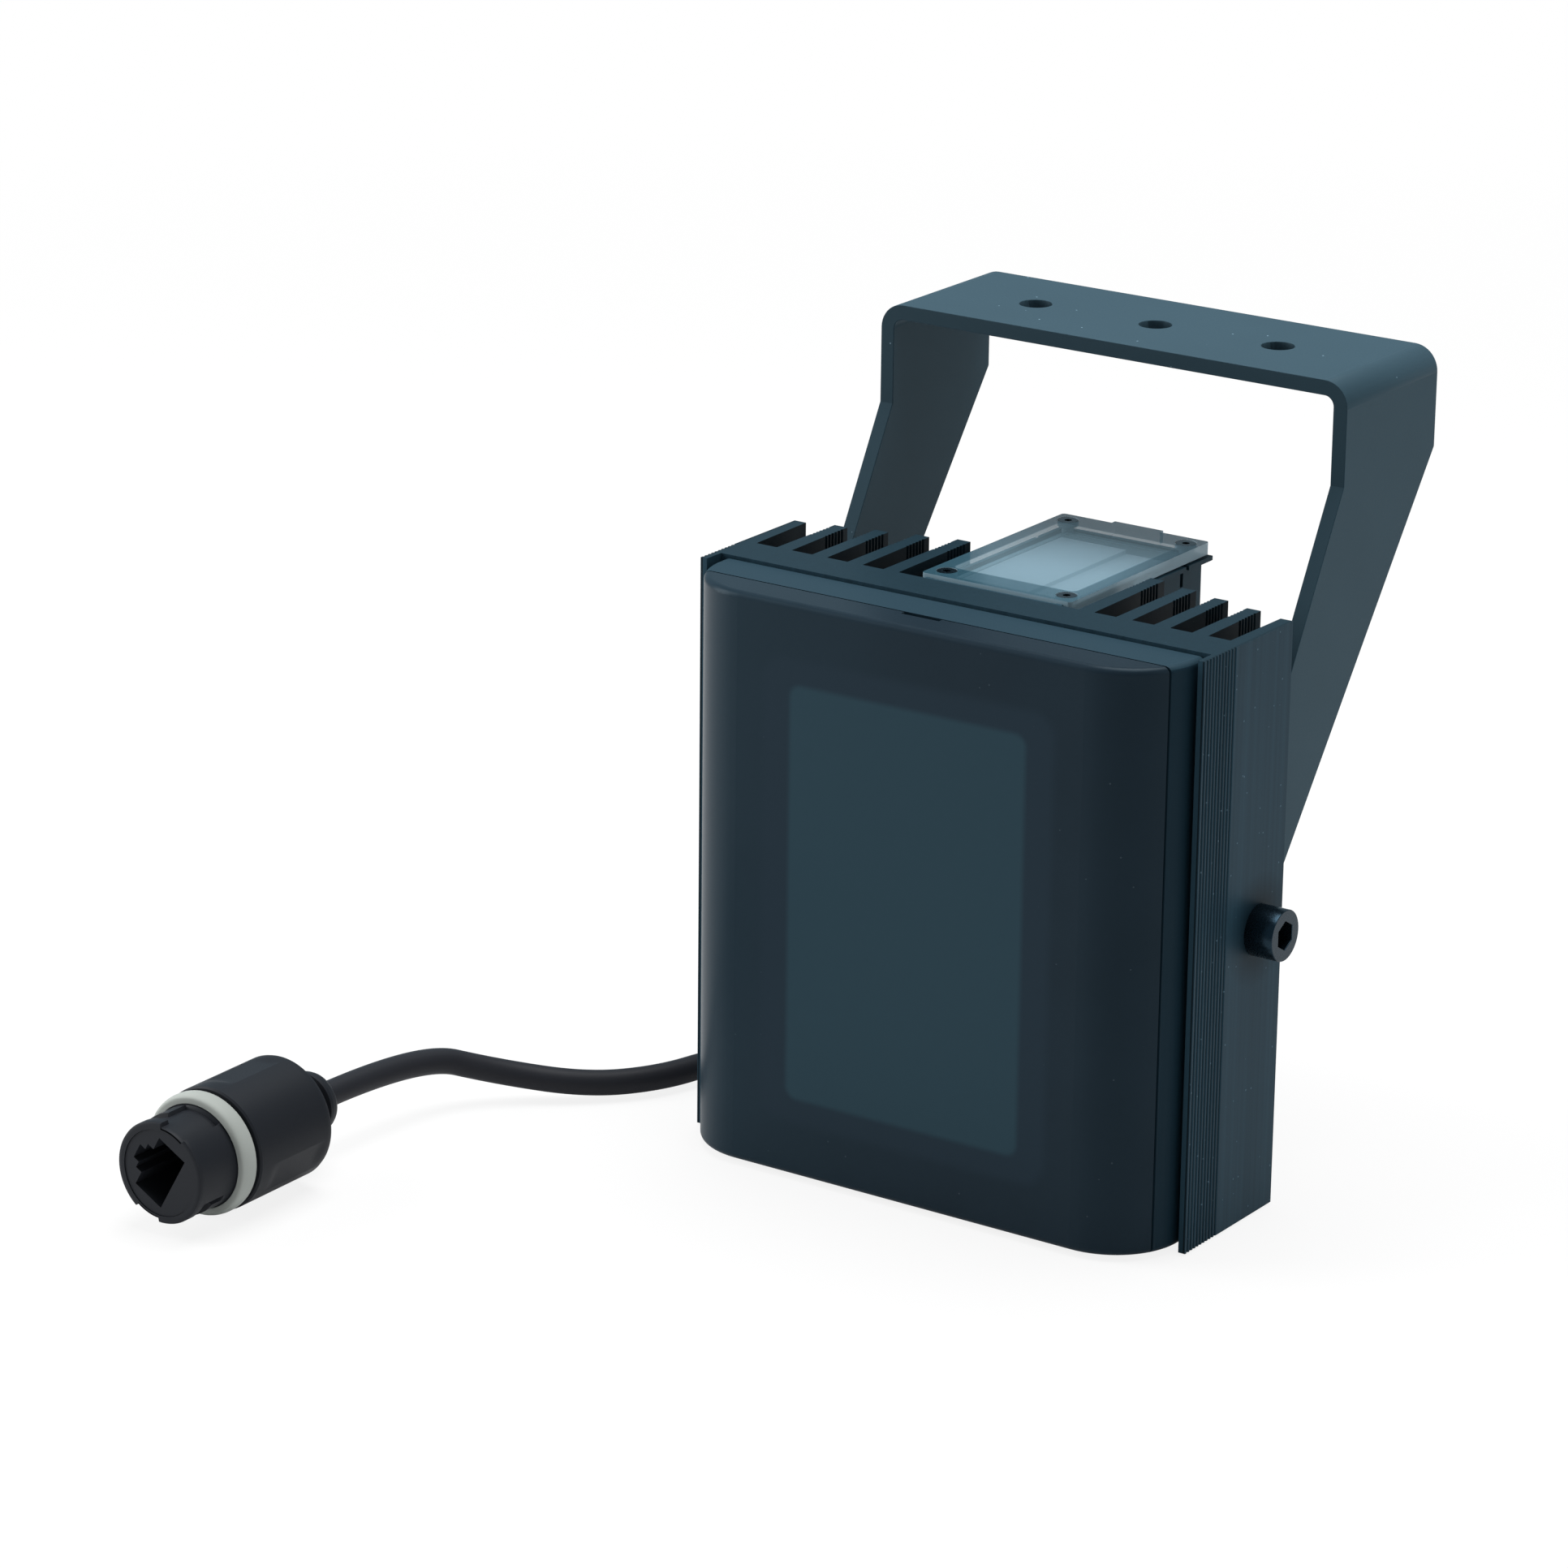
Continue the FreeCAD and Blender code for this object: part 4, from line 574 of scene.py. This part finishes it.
back = [(BOOT_R + 0.05, 0), (SHELL_R - 1.1, 0), (SHELL_R - 0.55, 0.12), (SHELL_R - 0.2, 0.4),
        (SHELL_R, 1.0)]
ring_bed = [(SHELL_R, RING_START - 0.35), (SHELL_R - 0.35, RING_START),
            (RING_BED_R, RING_START), (RING_BED_R, RING_END)]
collar = [(COLLAR_R, h) for h in (RING_END, RING_END + 0.15, RING_END + 0.4)]
collar += [(COLLAR_R, h + d) for h in WAY_HEIGHTS for d in (-0.12, 0.12)]
nose = [(COLLAR_R, NOSE - 0.45), (COLLAR_R - 0.12, NOSE - 0.14), (COLLAR_R - 0.4, NOSE)]
bore = [(COLLAR_R - 1.5, NOSE), (COLLAR_R - 1.5, 5), (BOOT_R + 0.05, 3)]
dent_edges = [start + turn for start in WAYS for turn in WAY_TURNS]
dent_edges += [middle + side for middle in FLATS for side in (-FLAT_EDGE, FLAT_EDGE)]
shell = turned_piece("shell", back + ring_bed + collar + nose + bore, shell_dent, moulding,
                     step=0.9, turns=240, edges=dent_edges)
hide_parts("connector_shell")

# %% [markdown]
# ## Pale ring
# The silicone ring is soft and round, so its profile is half an oval on a flat foot.

# %% Ring
RING_FOOT_R, RING_MIDDLE_R, RING_BULGE = SHELL_R - 1.85, SHELL_R - 1.2, 1.08
ring_back = RING_START + 0.5
middle, half = (ring_back + RING_END) / 2, (RING_END - ring_back) / 2
ring_shape = [(RING_FOOT_R, ring_back)]
ring_shape += [(RING_MIDDLE_R + RING_BULGE * math.sin(a) ** 0.7, middle - half * math.cos(a))
               for a in np.linspace(0, math.pi, 17)]
ring_shape += [(RING_FOOT_R, RING_END)]
ring = turned_piece("ring", ring_shape, lambda radius, height, angle: 0 * radius, silicone,
                    step=0.8, turns=160)
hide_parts("connector_ring")

# %% [markdown]
# ## Boot
# The boot is a short sleeve with a round end. Each of its three rows of slots runs most of the
# way round and leaves two bridges, which are turned by a quarter from row to row.

# %% Boot
SLOT_ROWS = ((-1.25, 121), (-3.85, 31), (-6.6, 121))
SLOT_DEPTH, SLOT_WIDTH, SLOT_SOFT = 1.15, 1.05, 0.25
BRIDGE_HALF, BRIDGE_END = 13, 18
BOOT_BORE_R, BOOT_END = 2.66, -10.5


def boot_dent(radius, height, angle):
    """Depth of the slots: full over most of the circle, nought at two bridges."""
    depth = np.zeros_like(radius)
    for row, bridge in SLOT_ROWS:
        away = np.minimum(np.abs(past(angle, bridge)), np.abs(past(angle, bridge + 180)))
        depth += (SLOT_DEPTH * band(height, row, row + SLOT_WIDTH, SLOT_SOFT)
                  * rise(away, BRIDGE_HALF, BRIDGE_END))
    return depth * (radius > 5)


boot = turned_piece("boot", [
    (BOOT_BORE_R, BOOT_END), (3.4, BOOT_END), (4.3, -10.35), (5.1, -9.95), (5.75, -9.3),
    (6.1, -8.6), (BOOT_R, -7.6), (BOOT_R, 3), (BOOT_BORE_R, 3)], boot_dent, moulding,
    step=0.2, turns=180)
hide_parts("strain_relief")

# %% [markdown]
# ## The lead
# The lead leaves its gland downwards, bends onto the surface and runs round to the connector. A
# curve is the natural way to draw it: a spline through a few control points, with a round
# thickness. The points are those of the route in the source, and the spline of order three keeps
# to the same bends.

# %% Lead
LEAD_THICK = 5.2 * MM
LEAD_ROUTE = np.array([
    (0.0, 11.3, 44.0), (0.0, 11.3, 2.8), (-40.0, 6.5, 2.8), (-58.1, -2.0, 2.8),
    (-68.0, -14.6, 2.8), (-71.6, -29.3, 2.8), (-81.0, -41.2, 2.9), (-95.5, -51.5, 5.6),
    (-104.5, -66.8, 12.3), (-104.5, -103.3, 12.3),
]) * MM
curve = bpy.data.curves.new("lead", "CURVE")
curve.dimensions = "3D"
curve.bevel_depth = LEAD_THICK / 2
curve.bevel_resolution = 6
curve.resolution_u = 24
line = curve.splines.new("NURBS")
line.points.add(len(LEAD_ROUTE) - 1)
line.points.foreach_set("co", np.c_[LEAD_ROUTE, np.ones(len(LEAD_ROUTE))].ravel())
line.order_u = 3
line.use_endpoint_u = True
lead = bpy.data.objects.new("lead", curve)
bpy.context.scene.collection.objects.link(lead)
curve.materials.append(sheath)
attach(lead, "unit")
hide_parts("pigtail_cable")

# %% [markdown]
# ## Camera
# The photograph was taken from the right of the window, a little above it, from just over a metre
# away with a long lens. The camera is placed by those angles and not aimed by hand.

# %% Camera
CAMERA_PLACE = Vector((0.578977, -0.933159, 0.439831))
CAMERA_AZIMUTH, CAMERA_ELEVATION, CAMERA_ROLL = 34.5148, 18.6095, 0.6353
SENSOR, FOCAL_LENGTH = 36.0, 137.54
camera_data = bpy.data.cameras.new("camera")
camera_data.sensor_width = SENSOR
camera_data.lens = FOCAL_LENGTH
camera = bpy.data.objects.new("camera", camera_data)
bpy.context.scene.collection.objects.link(camera)
camera.location = CAMERA_PLACE
turn = Euler((math.radians(90 - CAMERA_ELEVATION), 0, math.radians(CAMERA_AZIMUTH)), "XYZ")
roll = Euler((0, 0, math.radians(CAMERA_ROLL)), "XYZ")
camera.rotation_euler = (turn.to_matrix() @ roll.to_matrix()).to_euler("XYZ")
bpy.context.scene.camera = camera
print("camera", round(CAMERA_PLACE.length, 2), "m away")

# %% [markdown]
# ## Lamps
# Three large soft lamps do the work: one high on the left that draws a soft band on the window's
# rounded corner, one above for the bracket and the fins, and a weak one on the right for the
# ribbed side. A large lamp gives soft shadows and long, quiet highlights.

# %% Lamps
AIM = Vector((0, 0, 0.07))
LAMPS = {
    "left_light": ((-0.95, -0.5, 0.45), (0.5, 0.9), 11),
    "top_light": ((0.0, 0.15, 1.2), (0.8, 0.8), 18),
    "right_light": ((1.1, 0.05, 0.45), (0.5, 0.8), 1.6),
}
for name, (place, size, watts) in LAMPS.items():
    data = bpy.data.lights.new(name, "AREA")
    data.shape = "RECTANGLE"
    data.size, data.size_y = size
    data.energy = watts
    lamp = bpy.data.objects.new(name, data)
    bpy.context.scene.collection.objects.link(lamp)
    lamp.location = place
    lamp.rotation_euler = (AIM - Vector(place)).to_track_quat("-Z", "Y").to_euler()
print(len(LAMPS), "lamps")

# %% [markdown]
# ## Floor and surroundings
# The floor and the room are white to the camera but give the part little light, so its dark
# finishes keep their depth. The Light Path node tells which kind of ray asks: rays from the
# camera, and rays let through clear pieces, see the room at full strength, and mirrored rays see
# a dimmer and cooler one, as dark blue metal in a studio does. The floor glows in the same way,
# a little less close to the part, where its shadow has to show.

# %% Floor and surroundings
MIRRORED = 0.35
FLOOR_SIZE, FLOOR_DROP = 40, 0.4 * MM
NEAR, FAR, NEAR_GLOW = 0.3, 0.9, 0.85
ROOM_LIGHT = 0.2
WHITE, COOL = (1.0, 1.0, 1.0, 1.0), (0.6, 0.82, 0.95, 1.0)


def seen_ray(tree):
    """One for rays straight from the camera or let through, less for mirrored ones."""
    rays = tree.nodes.new("ShaderNodeLightPath")
    shown = math_node(tree, "MAXIMUM", rays.outputs["Is Camera Ray"],
                      rays.outputs["Is Transmission Ray"])
    mirrored = math_node(tree, "MULTIPLY", rays.outputs["Is Glossy Ray"], MIRRORED)
    return math_node(tree, "MAXIMUM", shown, mirrored)


bpy.ops.mesh.primitive_plane_add(size=FLOOR_SIZE, location=(0, 0, -FLOOR_DROP))
floor = bpy.context.object
floor.name = "floor"
paper = bpy.data.materials.new("pale_paper")
paper.use_nodes = True
tree = paper.node_tree
shader = tree.nodes["Principled BSDF"]
shader.inputs["Base Color"].default_value = (0.8, 0.8, 0.8, 1)
shader.inputs["Roughness"].default_value = 0.9
glow = tree.nodes.new("ShaderNodeEmission")
mix = tree.nodes.new("ShaderNodeMixShader")
place = tree.nodes.new("ShaderNodeTexCoord").outputs["Object"]
share = ramp(tree, vector_node(tree, "LENGTH", place), NEAR, FAR, NEAR_GLOW, 1.0)
tree.links.new(math_node(tree, "MULTIPLY", seen_ray(tree), share), mix.inputs["Fac"])
tree.links.new(shader.outputs[0], mix.inputs[1])
tree.links.new(glow.outputs[0], mix.inputs[2])
tree.links.new(mix.outputs[0], tree.nodes["Material Output"].inputs["Surface"])
floor.data.materials.append(paper)

world = bpy.data.worlds.new("studio")
bpy.context.scene.world = world
world.use_nodes = True
tree = world.node_tree
back = tree.nodes["Background"]
glossy = tree.nodes.new("ShaderNodeLightPath").outputs["Is Glossy Ray"]
tree.links.new(layer(tree, WHITE, COOL, glossy), back.inputs["Color"])
level = math_node(tree, "MULTIPLY", seen_ray(tree), 1 - ROOM_LIGHT)
tree.links.new(math_node(tree, "ADD", level, ROOM_LIGHT), back.inputs["Strength"])
bpy.context.scene.view_settings.view_transform = "Standard"
print("floor", round(FLOOR_DROP / MM, 1), "mm below the part")
